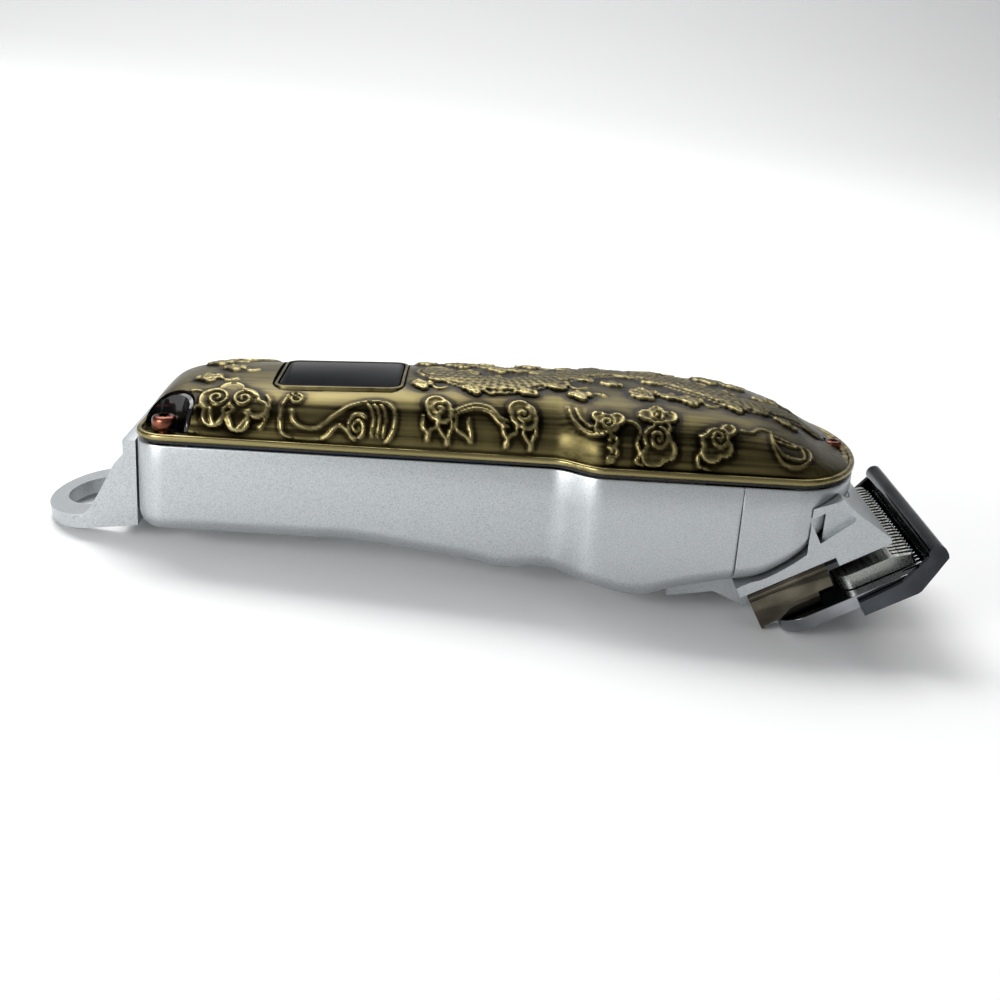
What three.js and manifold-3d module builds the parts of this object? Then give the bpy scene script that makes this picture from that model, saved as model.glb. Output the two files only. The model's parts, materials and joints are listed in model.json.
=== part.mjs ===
// Cordless hair clipper with a cast metal housing, an embossed brass cover and a tilted blade set.
// Millimetres. +X runs forward to the blades, +Y is the clipper's left side, +Z is up.
// The origin is the centre of the flat rear underside.
import * as THREE from 'three';
import { mergeVertices } from 'three/addons/utils/BufferGeometryUtils.js';
import Module from 'manifold-3d';

const wasm = await Module();
wasm.setup();

// ---------- driving dimensions ----------
const gap = 0.3; // room left between neighbouring pieces
const wall = 2.2; // wall of the cast housing
const seamZ = 18.2; // top edge of the housing
const rearX = -24.5; // rear face of the housing
const splitX = 94.2; // joint between the handle casting and the nose casting
const noseX = 119.6; // foremost point of the housing
const noseStartX = 104; // where the side walls start to round into the nose
const handleHalf = 19.4; // half width of the handle
const headHalf = 23.75; // half width of the head
const flareStartX = 57; // where the handle starts to widen
const flareEndX = 67; // where the head has its full width
const cornerRadius = 6; // rear corners, seen from above
const coverBaseZ = 19.1; // underside of the cover's rim
const rimTopZ = 20.4; // top of the cover's rim
const coverWall = 1.6;
const rearScrew = { x: -18.9, y: 15.4 };
const noseScrewX = 116.2;
const displayX = [2, 26.4]; // rear and front edge of the display glass
const displayHalf = 9.85;
const displayTopZ = 29.9;
const bladeTilt = THREE.MathUtils.degToRad(29);
const bladeTip = { x: 131.8, z: 3.9 }; // front edge of the plane where the two blades meet
const bladeHalf = 23; // half width of the stationary blade
const bladeLength = 30.6;
const bladeThickness = 2.9;
const cutterHalf = 20;
const toothPitch = 1.6;
const motor = { x: 63, length: 26, z: 9.7, radius: 10 };
const crankThrow = 1.2; // eccentric pin offset, so the cutter strokes 1.2 mm each way
const camBalance = 0.18; // the cam's disc sits this far off the axis, against the weight of its pin
const leverPivot = { along: -10, up: 9.5 }; // taper lever axis, in blade coordinates
const leverCrank = 3; // crank pin height above the lever axis
const battery = { x: -16, length: 65, z: 11.9, radius: 9.1 };
const button = { x: 40, z: 10, radius: 3.6 };

// ---------- materials ----------
function finish(color, roughness, metalness) {
  return new THREE.MeshStandardMaterial({ color, roughness, metalness });
}
const silverPaint = finish(0xc3c9cc, 0.45, 0.6);
const brass = finish(0x8a7a45, 0.38, 1);
const darkGlass = finish(0x15181b, 0.08, 0);
const blackGloss = finish(0x101112, 0.15, 0);
const blackRubber = finish(0x0c0c0c, 0.8, 0);
const blackChrome = finish(0x2c3033, 0.18, 1);
const bladeSteel = finish(0x8d9088, 0.3, 1);
const nickel = finish(0xc9c2ae, 0.22, 1);
const copperScrew = finish(0x7a4030, 0.35, 1);
const steel = finish(0xb0b3b5, 0.3, 1);
const greyPlastic = finish(0x6f7376, 0.6, 0);
const boardGreen = finish(0x1f4d33, 0.5, 0);
const batteryWrap = finish(0x2f5f8f, 0.5, 0);

// ---------- solid helpers ----------
function solidOf(geometry) {
  const bare = geometry.clone();
  bare.deleteAttribute('normal');
  bare.deleteAttribute('uv');
  const merged = mergeVertices(bare, 1e-4);
  return new wasm.Manifold(new wasm.Mesh({
    numProp: 3,
    vertProperties: new Float32Array(merged.attributes.position.array),
    triVerts: new Uint32Array(merged.index.array),
  }));
}

function geometryOf(solid) {
  const mesh = solid.getMesh();
  const geometry = new THREE.BufferGeometry();
  geometry.setAttribute('position', new THREE.BufferAttribute(Float32Array.from(mesh.vertProperties), 3));
  geometry.setIndex(new THREE.BufferAttribute(Uint32Array.from(mesh.triVerts), 1));
  geometry.computeVertexNormals();
  return geometry;
}

function join(...solids) {
  return solids.reduce((sum, solid) => sum.add(solid));
}

function cut(solid, ...tools) {
  return tools.reduce((rest, tool) => rest.subtract(tool), solid);
}

function box(x0, x1, y0, y1, z0, z1) {
  const geometry = new THREE.BoxGeometry(x1 - x0, y1 - y0, z1 - z0);
  geometry.translate((x0 + x1) / 2, (y0 + y1) / 2, (z0 + z1) / 2);
  return solidOf(geometry);
}

function cylinderX(x0, x1, y, z, radius, sides = 28) {
  const geometry = new THREE.CylinderGeometry(radius, radius, x1 - x0, sides);
  geometry.rotateZ(-Math.PI / 2);
  geometry.translate((x0 + x1) / 2, y, z);
  return solidOf(geometry);
}

function cylinderY(y0, y1, x, z, radius, sides = 28) {
  const geometry = new THREE.CylinderGeometry(radius, radius, y1 - y0, sides);
  geometry.translate(x, (y0 + y1) / 2, z);
  return solidOf(geometry);
}

function cylinderZ(z0, z1, x, y, radius, sides = 28) {
  const geometry = new THREE.CylinderGeometry(radius, radius, z1 - z0, sides);
  geometry.rotateX(Math.PI / 2);
  geometry.translate(x, y, (z0 + z1) / 2);
  return solidOf(geometry);
}

// Points of a closed curve, counter-clockwise, with repeated ones left out.
function distinct(points) {
  const kept = points.filter((point, i) => point.distanceTo(points[(i + 1) % points.length]) > 1e-3);
  return THREE.ShapeUtils.isClockWise(kept) ? kept.reverse() : kept;
}

function extrude(shape, depth, curveSegments = 12) {
  const outline = new THREE.Shape(distinct(shape.getPoints(curveSegments)));
  outline.holes = shape.holes.map((hole) => new THREE.Path(distinct(hole.getPoints(curveSegments))));
  return new THREE.ExtrudeGeometry(outline, { depth, bevelEnabled: false });
}

// An outline drawn in X and Y, raised from z0 to z1.
function raise(shape, z0, z1, curveSegments = 12) {
  const geometry = extrude(shape, z1 - z0, curveSegments);
  geometry.translate(0, 0, z0);
  return solidOf(geometry);
}

// A side view drawn in X and Z, spread from y0 to y1.
function spread(shape, y0, y1, curveSegments = 12) {
  const geometry = extrude(shape, y1 - y0, curveSegments);
  geometry.rotateX(Math.PI / 2);
  geometry.translate(0, y1, 0);
  return solidOf(geometry);
}

// A front view drawn in Y and Z, run forwards from x0 to x1.
function runForward(shape, x0, x1, curveSegments = 12) {
  const geometry = extrude(shape, x1 - x0, curveSegments);
  geometry.rotateX(Math.PI / 2);
  geometry.rotateZ(Math.PI / 2);
  geometry.translate(x0, 0, 0);
  return solidOf(geometry);
}

// A wire or tube along a path of points.
function wire(points, radius, steps, sides = 6) {
  const section = new THREE.Shape();
  section.absarc(0, 0, radius, 0, Math.PI * 2);
  const path = new THREE.CatmullRomCurve3(points.map((p) => new THREE.Vector3(...p)), false, 'catmullrom', 0.1);
  const geometry = new THREE.ExtrudeGeometry(section, {
    steps, extrudePath: path, bevelEnabled: false, curveSegments: sides,
  });
  return solidOf(geometry);
}

function polygon(points) {
  return new THREE.Shape(points.map(([a, b]) => new THREE.Vector2(a, b)));
}

function roundedRectangle(x0, x1, y0, y1, radius) {
  const shape = new THREE.Shape();
  shape.moveTo(x0 + radius, y0);
  shape.lineTo(x1 - radius, y0);
  shape.absarc(x1 - radius, y0 + radius, radius, -Math.PI / 2, 0);
  shape.lineTo(x1, y1 - radius);
  shape.absarc(x1 - radius, y1 - radius, radius, 0, Math.PI / 2);
  shape.lineTo(x0 + radius, y1);
  shape.absarc(x0 + radius, y1 - radius, radius, Math.PI / 2, Math.PI);
  shape.lineTo(x0, y0 + radius);
  shape.absarc(x0 + radius, y0 + radius, radius, Math.PI, Math.PI * 1.5);
  return shape;
}

// Blade coordinates run along the blade (forward), across it (+Y) and up from the cutting plane.
function alongBlade(solid) {
  const c = Math.cos(bladeTilt);
  const s = Math.sin(bladeTilt);
  return solid.transform([c, 0, s, 0, 0, 1, 0, 0, -s, 0, c, 0, bladeTip.x, 0, bladeTip.z, 1]);
}

// ---------- housing shapes ----------
// Half width of the housing at a station between the rear corner and the nose.
function halfWidth(x) {
  const t = THREE.MathUtils.clamp((x - flareStartX) / (flareEndX - flareStartX), 0, 1);
  return handleHalf + (headHalf - handleHalf) * (1 - Math.cos(Math.PI * t)) / 2;
}

// The housing seen from above, drawn in by inset.
function planOutline(inset) {
  const side = [];
  for (let i = 0; i <= 8; i += 1) {
    const angle = Math.PI - (Math.PI / 2) * (i / 8);
    const radius = cornerRadius - inset;
    side.push([
      rearX + cornerRadius + radius * Math.cos(angle),
      handleHalf - cornerRadius + radius * Math.sin(angle),
    ]);
  }
  for (let i = 0; i <= 6; i += 1) {
    const x = THREE.MathUtils.lerp(flareStartX, flareEndX, i / 6);
    side.push([x, halfWidth(x) - inset]);
  }
  const steps = 14;
  for (let i = 0; i < steps; i += 1) {
    const angle = (Math.PI / 2) * (1 - i / steps);
    side.push([
      noseStartX + (noseX - noseStartX - inset) * Math.cos(angle),
      (headHalf - inset) * Math.sin(angle),
    ]);
  }
  const mirrored = side.map(([x, y]) => [x, -y]);
  return polygon([...mirrored, [noseX - inset, 0], ...side.reverse()]);
}

// Underside of the housing in X and Z: flat, a finger rest, the belly and the rise to the nose.
const undersideLine = [
  [18, 0], [34, -1.9], [43, -3.1], [48, -4.2], [56, -3.5], [66, -4.8], [75, -6.5], [84, -4.3],
  [93, -2.2], [99, -1], [103.5, 1.6], [107.1, 4.4], [110.6, 7.6], [113.2, 10.2], [116.5, 11.6], [123, 12.6],
];

// The same line moved inwards, square to itself.
function insetUnderside(inset) {
  return undersideLine.map(([x, z], i, line) => {
    const [xa, za] = line[Math.max(i - 1, 0)];
    const [xb, zb] = line[Math.min(i + 1, line.length - 1)];
    const run = xb - xa;
    const rise = i === 0 ? 0 : zb - za;
    const length = Math.hypot(run, rise);
    return new THREE.Vector2(x - (inset * rise) / length, z + (inset * run) / length);
  });
}

// Everything between the underside and topZ, seen from the side.
function aboveUnderside(inset, topZ) {
  const radius = 4.5;
  const line = insetUnderside(inset);
  const shape = new THREE.Shape();
  shape.moveTo(rearX + inset, topZ);
  shape.lineTo(rearX + inset, radius);
  shape.absarc(rearX + radius, radius, radius - inset, Math.PI, Math.PI * 1.5);
  shape.lineTo(line[0].x, line[0].y);
  shape.splineThru(line.slice(1));
  shape.lineTo(line[line.length - 1].x, topZ);
  return shape;
}

function housingBlock(inset, topZ) {
  const seenFromAbove = raise(planOutline(inset), -12, topZ);
  return seenFromAbove.intersect(spread(aboveUnderside(inset, topZ + 1), -30, 30, 3));
}

// ---------- housing pieces ----------
const housingOuter = housingBlock(0, seamZ);
const housingHollow = housingBlock(wall, seamZ + 2);
const housingClearance = housingBlock(-gap, seamZ + 2);
const driveOpening = alongBlade(box(-27, -13, -8.5, 8.5, 10.5, 22));
const seatScrew = { x: 88, y: 13 };
const hookScrew = { y: 8, z: 6.4 };

function lowerHousing() {
  const shell = cut(housingOuter, housingHollow, box(splitX - gap / 2, 200, -40, 40, -40, 60));
  const bosses = [];
  const holes = [
    cylinderY(10, 25, button.x, button.z, button.radius + gap),
    box(rearX - 1, rearX + wall + 1, -5.2, 5.2, 8.2, 11.8),
  ];
  for (const side of [-1, 1]) {
    bosses.push(cylinderZ(-2, seamZ - gap, rearScrew.x, side * rearScrew.y, 3.2));
    bosses.push(cylinderZ(-8, 4, seatScrew.x, side * seatScrew.y, 3));
    holes.push(cylinderZ(5, seamZ + 1, rearScrew.x, side * rearScrew.y, 1.5));
    holes.push(cylinderZ(-12, 5, seatScrew.x, side * seatScrew.y, 1.5));
    holes.push(cylinderX(rearX - 1, rearX + wall + 1, side * hookScrew.y, hookScrew.z, 1.5));
  }
  const inside = housingBlock(wall - 0.4, seamZ - gap);
  return cut(join(shell, join(...bosses).intersect(inside)), ...holes);
}

function noseHousing() {
  const shell = cut(housingOuter, housingHollow, box(-100, splitX + gap / 2, -40, 40, -40, 60));
  const boss = cylinderZ(10, seamZ - gap, noseScrewX, 0, 3.2).intersect(housingBlock(0.4, seamZ - gap));
  return cut(join(shell, boss), cylinderZ(12.8, seamZ + 1, noseScrewX, 0, 1.3), driveOpening);
}

function coverGasket() {
  return cut(raise(planOutline(0.7), seamZ + 0.2, coverBaseZ - 0.2), raise(planOutline(1.9), 0, 60));
}

// ---------- cover ----------
// Crown line of the cover along its length, in X and Z.
const crown = new THREE.CatmullRomCurve3([
  [-23.4, 21], [-22.6, 23.4], [-19.5, 26.4], [-14, 28.2], [-6, 29.2], [14, 30], [46, 31.4],
  [75, 31.2], [90, 30.6], [98, 29.3], [106, 26.2], [112, 22.8], [116.4, 20.8],
].map(([x, z]) => new THREE.Vector3(x, 0, z)));
const crownStations = 28;
const domeSides = 22;
const domeRoundness = 2.5;
const domeSetback = 1.3; // flat rim between the outline and the foot of the dome
const domeFootZ = rimTopZ - 0.3;

// Half width of the housing at any station, with its rounded ends.
function outlineHalf(x) {
  const fromCorner = Math.max(rearX + cornerRadius - x, 0);
  const intoNose = Math.max((x - noseStartX) / (noseX - noseStartX), 0);
  const rounded = cornerRadius - Math.sqrt(Math.max(cornerRadius ** 2 - fromCorner ** 2, 0));
  return (halfWidth(x) - rounded) * Math.sqrt(Math.max(1 - intoNose ** 2, 0));
}

// The dome as a solid, made of arched sections joined from the rear to the nose.
function dome(inset) {
  const positions = [];
  const indices = [];
  const ring = domeSides + 1;
  for (let i = 0; i <= crownStations; i += 1) {
    const { x, z } = crown.getPoint(i / crownStations);
    const half = outlineHalf(x) - domeSetback - inset;
    const height = Math.max(z - inset - domeFootZ, 0.3);
    for (let j = 0; j < ring; j += 1) {
      const angle = Math.PI * (j / domeSides);
      const across = Math.sign(Math.cos(angle)) * Math.abs(Math.cos(angle)) ** (2 / domeRoundness);
      const up = j % domeSides ? Math.sin(angle) ** (2 / domeRoundness) : 0;
      positions.push(x, half * across, domeFootZ + height * up);
      if (i < crownStations) {
        const a = i * ring + j;
        const b = i * ring + ((j + 1) % ring);
        indices.push(a, b + ring, a + ring, a, b, b + ring);
      }
    }
  }
  const last = crownStations * ring;
  for (let j = 1; j < ring - 1; j += 1) {
    indices.push(0, j + 1, j, last, last + j, last + j + 1);
  }
  const geometry = new THREE.BufferGeometry();
  geometry.setAttribute('position', new THREE.Float32BufferAttribute(positions, 3));
  geometry.setIndex(indices);
  return solidOf(geometry);
}

const pocketRadius = 5.9;
const bezelFrame = [displayX[0] - 0.7, displayX[1] + 0.7, -displayHalf - 0.7, displayHalf + 0.7];

function topCover() {
  const rim = raise(planOutline(-0.2), coverBaseZ, rimTopZ);
  const [x0, x1, y0, y1] = bezelFrame;
  const holes = [
    dome(coverWall).intersect(box(-60, 111, -40, 40, 0, 60)),
    raise(planOutline(3.4), coverBaseZ - 1, rimTopZ + 0.2).intersect(box(-17, 111, -40, 40, 0, 60)),
    raise(planOutline(3.4), coverBaseZ - 1, rimTopZ + 0.2).intersect(box(-40, 0, -9, 9, 0, 60)),
    raise(roundedRectangle(x0 - gap, x1 + gap, y0 - gap, y1 + gap, 3.2), 24, 40, 4),
    cylinderZ(rimTopZ - 0.5, 40, noseScrewX, 0, 2.5),
    cylinderZ(10, 40, noseScrewX, 0, 1.3),
  ];
  for (const side of [-1, 1]) {
    holes.push(cylinderZ(rimTopZ, 40, rearScrew.x, side * rearScrew.y, pocketRadius, 36));
    holes.push(cylinderZ(10, 40, rearScrew.x, side * rearScrew.y, 1.7));
  }
  return cut(join(rim, dome(0)), ...holes);
}

function pocketLiner(side) {
  const sleeve = cut(
    cylinderZ(rimTopZ + gap, 40, rearScrew.x, side * rearScrew.y, pocketRadius - gap, 36),
    cylinderZ(10, 50, rearScrew.x, side * rearScrew.y, pocketRadius - 1, 36),
  );
  return sleeve.intersect(dome(0.4));
}

// Everything above the display glass, which rises slightly towards the nose.
function aboveDisplay(lift) {
  const slope = 1 / (displayX[1] - displayX[0]);
  const reach = 5;
  const rearZ = displayTopZ - 1 - slope * reach + lift;
  const frontZ = displayTopZ + slope * reach + lift;
  const side = [[displayX[0] - reach, rearZ], [displayX[1] + reach, frontZ]];
  return spread(polygon([...side, [displayX[1] + reach, 60], [displayX[0] - reach, 60]]), -20, 20);
}

function displayBezel() {
  const [x0, x1, y0, y1] = bezelFrame;
  const outer = raise(roundedRectangle(x0, x1, y0, y1, 2.9), displayTopZ - 3.4, displayTopZ + 2, 5);
  const inner = raise(roundedRectangle(x0 + 0.6, x1 - 0.6, y0 + 0.6, y1 - 0.6, 2.4), 0, 60, 5);
  return cut(outer, inner, aboveDisplay(0.1));
}

function displayGlass() {
  const [x0, x1, y0, y1] = bezelFrame;
  const pane = roundedRectangle(x0 + 0.9, x1 - 0.9, y0 + 0.9, y1 - 0.9, 2.1);
  return cut(raise(pane, displayTopZ - 2.9, displayTopZ + 2, 5), aboveDisplay(0));
}

function displayModule() {
  const panelZ = displayTopZ - 4.4;
  const panel = box(displayX[0] + 2.5, displayX[1] - 2.5, -7.5, 7.5, panelZ, panelZ + 1.2);
  return join(box(displayX[0] + 0.5, displayX[1] - 0.5, -9, 9, panelZ - 1.2, panelZ), panel);
}

// Round-headed screw with a six-lobe socket; z is the underside of its head.
function lobeScrew(x, y, z, headRadius, headHeight, shankRadius, shankLength) {
  const socketZ = z + headHeight / 2;
  const head = cylinderZ(z, z + headHeight, x, y, headRadius, 24);
  const shank = cylinderZ(z - shankLength, z, x, y, shankRadius, 12);
  const socket = [cylinderZ(socketZ, socketZ + headHeight, x, y, headRadius * 0.4, 12)];
  for (let i = 0; i < 6; i += 1) {
    const angle = (Math.PI / 3) * i;
    const lobeX = x + headRadius * 0.42 * Math.cos(angle);
    const lobeY = y + headRadius * 0.42 * Math.sin(angle);
    socket.push(cylinderZ(socketZ, socketZ + headHeight, lobeX, lobeY, headRadius * 0.13, 8));
  }
  return cut(join(head, shank), ...socket);
}

function rearCoverScrew(side) {
  return lobeScrew(rearScrew.x, side * rearScrew.y, rimTopZ + gap, 2.4, 2.5, 1.2, 13);
}

// ---------- hanging hook and rear end ----------
const hook = { tilt: THREE.MathUtils.degToRad(7), topZ: 2.6, thickness: 3, half: 14.8, endX: -46.2 };
const hookHole = { half: 8.6, startX: -30, roundX: -35.5, endX: -42.7 };
const hookRoundX = -35;

function hookLoop() {
  const outline = new THREE.Shape();
  outline.moveTo(rearX - gap, -hook.half);
  outline.lineTo(hookRoundX, -hook.half);
  outline.absellipse(hookRoundX, 0, hookRoundX - hook.endX, hook.half, -Math.PI / 2, Math.PI / 2, true);
  outline.lineTo(rearX - gap, hook.half);
  const hole = new THREE.Path();
  hole.moveTo(hookHole.startX, -hookHole.half);
  hole.lineTo(hookHole.roundX, -hookHole.half);
  hole.absellipse(hookHole.roundX, 0, hookHole.roundX - hookHole.endX, hookHole.half, -Math.PI / 2, Math.PI / 2, true);
  hole.lineTo(hookHole.startX, hookHole.half);
  outline.holes.push(hole);
  const plate = extrude(outline, hook.thickness);
  plate.translate(-rearX, 0, -hook.thickness);
  plate.rotateY(-hook.tilt);
  plate.translate(rearX, 0, hook.topZ);
  return solidOf(plate);
}

function hangingHook() {
  const face = rearX - gap;
  const base = box(-27.4, face, -hook.half, hook.half, 0.4, 17.4);
  const gusset = polygon([
    [face, 17.5], [-25.2, 17.2], [-27.3, 14.6], [-29.4, 12], [-31.8, 7.2], [-34.2, 2.8], [-35.6, 1.2], [-38, 0.2],
    [-36, -0.6], [face, 1],
  ]);
  const gussets = [spread(gusset, hook.half - 4, hook.half), spread(gusset, -hook.half, 4 - hook.half)];
  const holes = [-1, 1].map((side) => cylinderX(-26.6, -20, side * hookScrew.y, hookScrew.z, 1.2));
  return cut(join(base, ...gussets, hookLoop()), ...holes, box(-30, -20, -5.6, 5.6, 7.8, 12.2), box(face, 0, -30, 30, -20, 40));
}

function hookFixing(side) {
  const seat = rearX + wall + gap;
  return join(
    cylinderX(-26.3, seat, side * hookScrew.y, hookScrew.z, 0.9, 12),
    cylinderX(seat, seat + 1.3, side * hookScrew.y, hookScrew.z, 2, 20),
  );
}

function chargingSocket() {
  const slot = (half, halfHeight, radius) => {
    return roundedRectangle(-half, half, button.z - halfHeight, button.z + halfHeight, radius);
  };
  const shell = runForward(slot(4.5, 1.65, 1.6), rearX + gap, rearX + 7.8, 6);
  const mouth = runForward(slot(4.1, 1.25, 1.2), rearX - 1, rearX + 6.5, 6);
  const tongue = box(rearX + 1, rearX + 7, -3.2, 3.2, button.z - 0.3, button.z + 0.3);
  return join(cut(shell, mouth), tongue);
}

// ---------- electrics and motor ----------
function batteryCell() {
  const { x, length, z, radius } = battery;
  return join(
    cylinderX(x, x + length, 0, z, radius, 40),
    cylinderX(x + length, x + length + 0.8, 0, z, 2.8, 20),
  );
}

function batteryCradle() {
  const block = box(battery.x + 5, battery.x + battery.length - 8, -11, 11, -5, 8.5);
  return cut(block.intersect(housingBlock(wall + gap, seamZ)), cylinderX(-40, 80, 0, battery.z, battery.radius + gap, 40));
}

function circuitBoard() {
  const board = box(-12, 56, -11.5, 11.5, 22, 23.2);
  const chips = [box(34, 42, -4, 4, 22.5, 24.4), box(46, 52, 2, 8, 22.5, 24.8), box(46, 53, -8, -3, 22.5, 24)];
  return join(board, ...chips);
}

function motorCan() {
  const { x, length, z, radius } = motor;
  const can = join(
    cylinderX(x, x + length, 0, z, radius, 40),
    cylinderX(x + length, x + length + 1.4, 0, z, 3.2, 24),
    cylinderX(x - 1.2, x, 0, z, 3.2, 24),
  );
  return cut(can, cylinderX(x + length - 6, x + length + 3, 0, z, 1.4, 20));
}

function motorCradle() {
  const block = box(motor.x + 3, motor.x + motor.length - 5, -12, 12, -8, 5);
  return cut(block.intersect(housingBlock(wall + gap, seamZ)), cylinderX(0, 200, 0, motor.z, motor.radius + gap, 40));
}

const shaftFrontX = motor.x + motor.length + 5.5;

function motorShaft() {
  return cylinderX(motor.x + motor.length - 5.4, shaftFrontX, 0, motor.z, 1.05, 16);
}

function eccentricCam() {
  const disc = cylinderX(shaftFrontX - 3.5, shaftFrontX + 1.2, 0, motor.z - camBalance, 4, 28);
  const pin = cylinderX(shaftFrontX + 1, shaftFrontX + 10.5, 0, motor.z + crankThrow, 1, 16);
  return cut(join(disc, pin), cylinderX(0, shaftFrontX + gap, 0, motor.z, 1.35, 16));
}

// ---------- power button ----------
function powerButton() {
  const cap = cylinderY(handleHalf - wall - 0.4, handleHalf + 1, button.x, button.z, button.radius, 32);
  const flange = cylinderY(handleHalf - wall - 1.3, handleHalf - wall - gap, button.x, button.z, button.radius + 1, 32);
  return join(cap, flange);
}

function buttonSpring() {
  const turns = 3;
  const points = [];
  for (let i = 0; i <= turns * 12; i += 1) {
    const angle = (Math.PI / 6) * i;
    const y = 13.1 + (1.6 * i) / (turns * 12);
    points.push([button.x + 2.2 * Math.cos(angle), y, button.z + 2.2 * Math.sin(angle)]);
  }
  return wire(points, 0.2, turns * 12, 5);
}

function switchBoard() {
  const board = box(button.x - 6, button.x + 6, 11.4, 12.4, 4.5, 15.5);
  return join(board, box(button.x - 1.1, button.x + 1.1, 12.2, 14.4, button.z - 1.1, button.z + 1.1));
}

// ---------- blade seat, in blade coordinates ----------
const bladeScrew = { along: -27.5, across: 9, radius: 1.3 };
const hoodLine = [[-4.3, 7.5], [-4.1, 8.6], [-8.1, 15.9], [-9.6, 19.8]];

function bladeSeat() {
  const sideView = polygon([[-35.5, 9.4], [-15.3, 9.4], [-15.3, 7.5], ...hoodLine, [-24, 22], [-24, 11.6], [-35.5, 11.6]]);
  const boss = box(-33, -23.5, -16.3, 16.3, 0.2, 10);
  const blockOfSeat = join(spread(sideView, -23.2, 23.2), boss);
  const hollow = spread(polygon([[-14.4, 6], [-6, 6], [-6, 9.5], [-9.5, 16.5], [-14.4, 16.5]]), -20.3, 20.3);
  const pocket = polygon([[-17, 13.4], [-9.4, 14.8], [-8.9, 15.3], [-9.1, 16], [-11.4, 18.9], [-17, 18.9]]);
  const tools = [
    hollow,
    box(-23.3, -14, -8.5, 8.5, 5, 20),
    spread(pocket, 21.6, 30),
    spread(pocket, -30, -21.6),
    cylinderY(19, 30, leverPivot.along, leverPivot.up, 1.9, 24),
  ];
  for (const side of [-1, 1]) {
    tools.push(cylinderZ(-1, 8.5, bladeScrew.along, side * bladeScrew.across, bladeScrew.radius + gap, 16));
  }
  const foot = polygon([[79, -9], [92, -6.9], [98.4, -9.8], [101.6, -9.3], [103, -2], [99, 2], [79, 0]]);
  const footSolid = spread(foot, -16.3, 16.3).intersect(box(82.5, 110, -20, 20, -12, 5));
  const whole = cut(join(alongBlade(cut(blockOfSeat, ...tools)), footSolid), housingClearance);
  const screwHoles = [];
  for (const side of [-1, 1]) {
    screwHoles.push(cylinderZ(-12, 10, seatScrew.x, side * seatScrew.y, 1.5));
    screwHoles.push(cylinderZ(-12, -5.2, seatScrew.x, side * seatScrew.y, 2.7));
  }
  return cut(whole, ...screwHoles);
}

function seatFixing(side) {
  return join(
    cylinderZ(-6.6, -5.5, seatScrew.x, side * seatScrew.y, 2.3, 20),
    cylinderZ(-5.6, 3, seatScrew.x, side * seatScrew.y, 1.2, 12),
  );
}

// ---------- blades, in blade coordinates ----------
// Outline of a toothed plate: teeth along the front, rounded rear corners.
function toothedOutline(tipU, rootU, rearU, half, rearRadius) {
  const points = [];
  const teeth = Math.floor((2 * half - 1.2) / toothPitch);
  const startY = -(teeth * toothPitch) / 2;
  points.push([rootU, -half]);
  points.push([tipU - 0.6, -half]);
  for (let i = 0; i <= teeth; i += 1) {
    const y = startY + i * toothPitch;
    if (i > 0) {
      points.push([tipU, y - 0.25]);
    }
    if (i < teeth) {
      points.push([tipU, y + 0.25]);
      points.push([rootU, y + toothPitch / 2 - 0.3]);
      points.push([rootU, y + toothPitch / 2 + 0.3]);
    }
  }
  points[2] = [tipU, startY + 0.25];
  points.push([tipU - 0.6, half]);
  const shape = polygon(points);
  shape.lineTo(rearU + rearRadius, half);
  shape.absarc(rearU + rearRadius, half - rearRadius, rearRadius, Math.PI / 2, Math.PI);
  shape.lineTo(rearU, rearRadius - half);
  shape.absarc(rearU + rearRadius, rearRadius - half, rearRadius, Math.PI, Math.PI * 1.5);
  return shape;
}

function stationaryBlade() {
  const plate = raise(toothedOutline(0, -4.2, -bladeLength, bladeHalf, 5.5), -bladeThickness, -0.1, 8);
  const grind = polygon([[-9, -3.2], [3, -3.2], [3, -0.9]]);
  const holes = [spread(grind, -30, 30)];
  for (const side of [-1, 1]) {
    holes.push(cylinderZ(-5, 2, bladeScrew.along, side * bladeScrew.across, bladeScrew.radius + gap, 16));
    holes.push(cylinderZ(-5, -1.5, bladeScrew.along, side * bladeScrew.across, 2.9, 24));
  }
  return cut(plate, ...holes);
}

function bladeFixing(side) {
  return join(
    cylinderZ(-2.8, -1.8, bladeScrew.along, side * bladeScrew.across, 2.6, 24),
    cylinderZ(-2, 7.6, bladeScrew.along, side * bladeScrew.across, bladeScrew.radius, 16),
  );
}

function cutterBlade() {
  const plate = raise(toothedOutline(-0.9, -4.8, -16.4, cutterHalf, 2.5), 0.1, 3.2, 6);
  const toothSlope = polygon([[-5.5, 3.3], [1, 1.5], [1, 5], [-5.5, 5]]);
  const channel = box(-13, -6.5, -17, 17, 0, 0.9);
  const keyHoles = [box(-15.9, -12.6, -5.2, -3.8, 1, 4), box(-15.9, -12.6, 3.8, 5.2, 1, 4)];
  return cut(plate, spread(toothSlope, -30, 30), channel, ...keyHoles);
}

function driveYoke() {
  const foot = box(-16.2, -12.3, -6.5, 6.5, 3.5, 7.2);
  const keys = [box(-15.6, -12.9, -4.9, -4.1, 2, 4), box(-15.6, -12.9, 4.1, 4.9, 2, 4)];
  const arm = spread(polygon([[-16.2, 7], [-12.8, 7], [-19.4, 18], [-22, 19], [-23.6, 18]]), -5.4, 5.4);
  const tilted = alongBlade(join(foot, ...keys, arm));
  const fork = cut(
    box(101.2, 103.4, -5.4, 5.4, 4.6, 15),
    box(100, 105, -3.7, 3.7, 6.2, 20),
  );
  const pinRoom = box(95, 110, -3.7, 3.7, 6.2, 20);
  return join(cut(tilted, pinRoom), fork);
}

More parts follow.
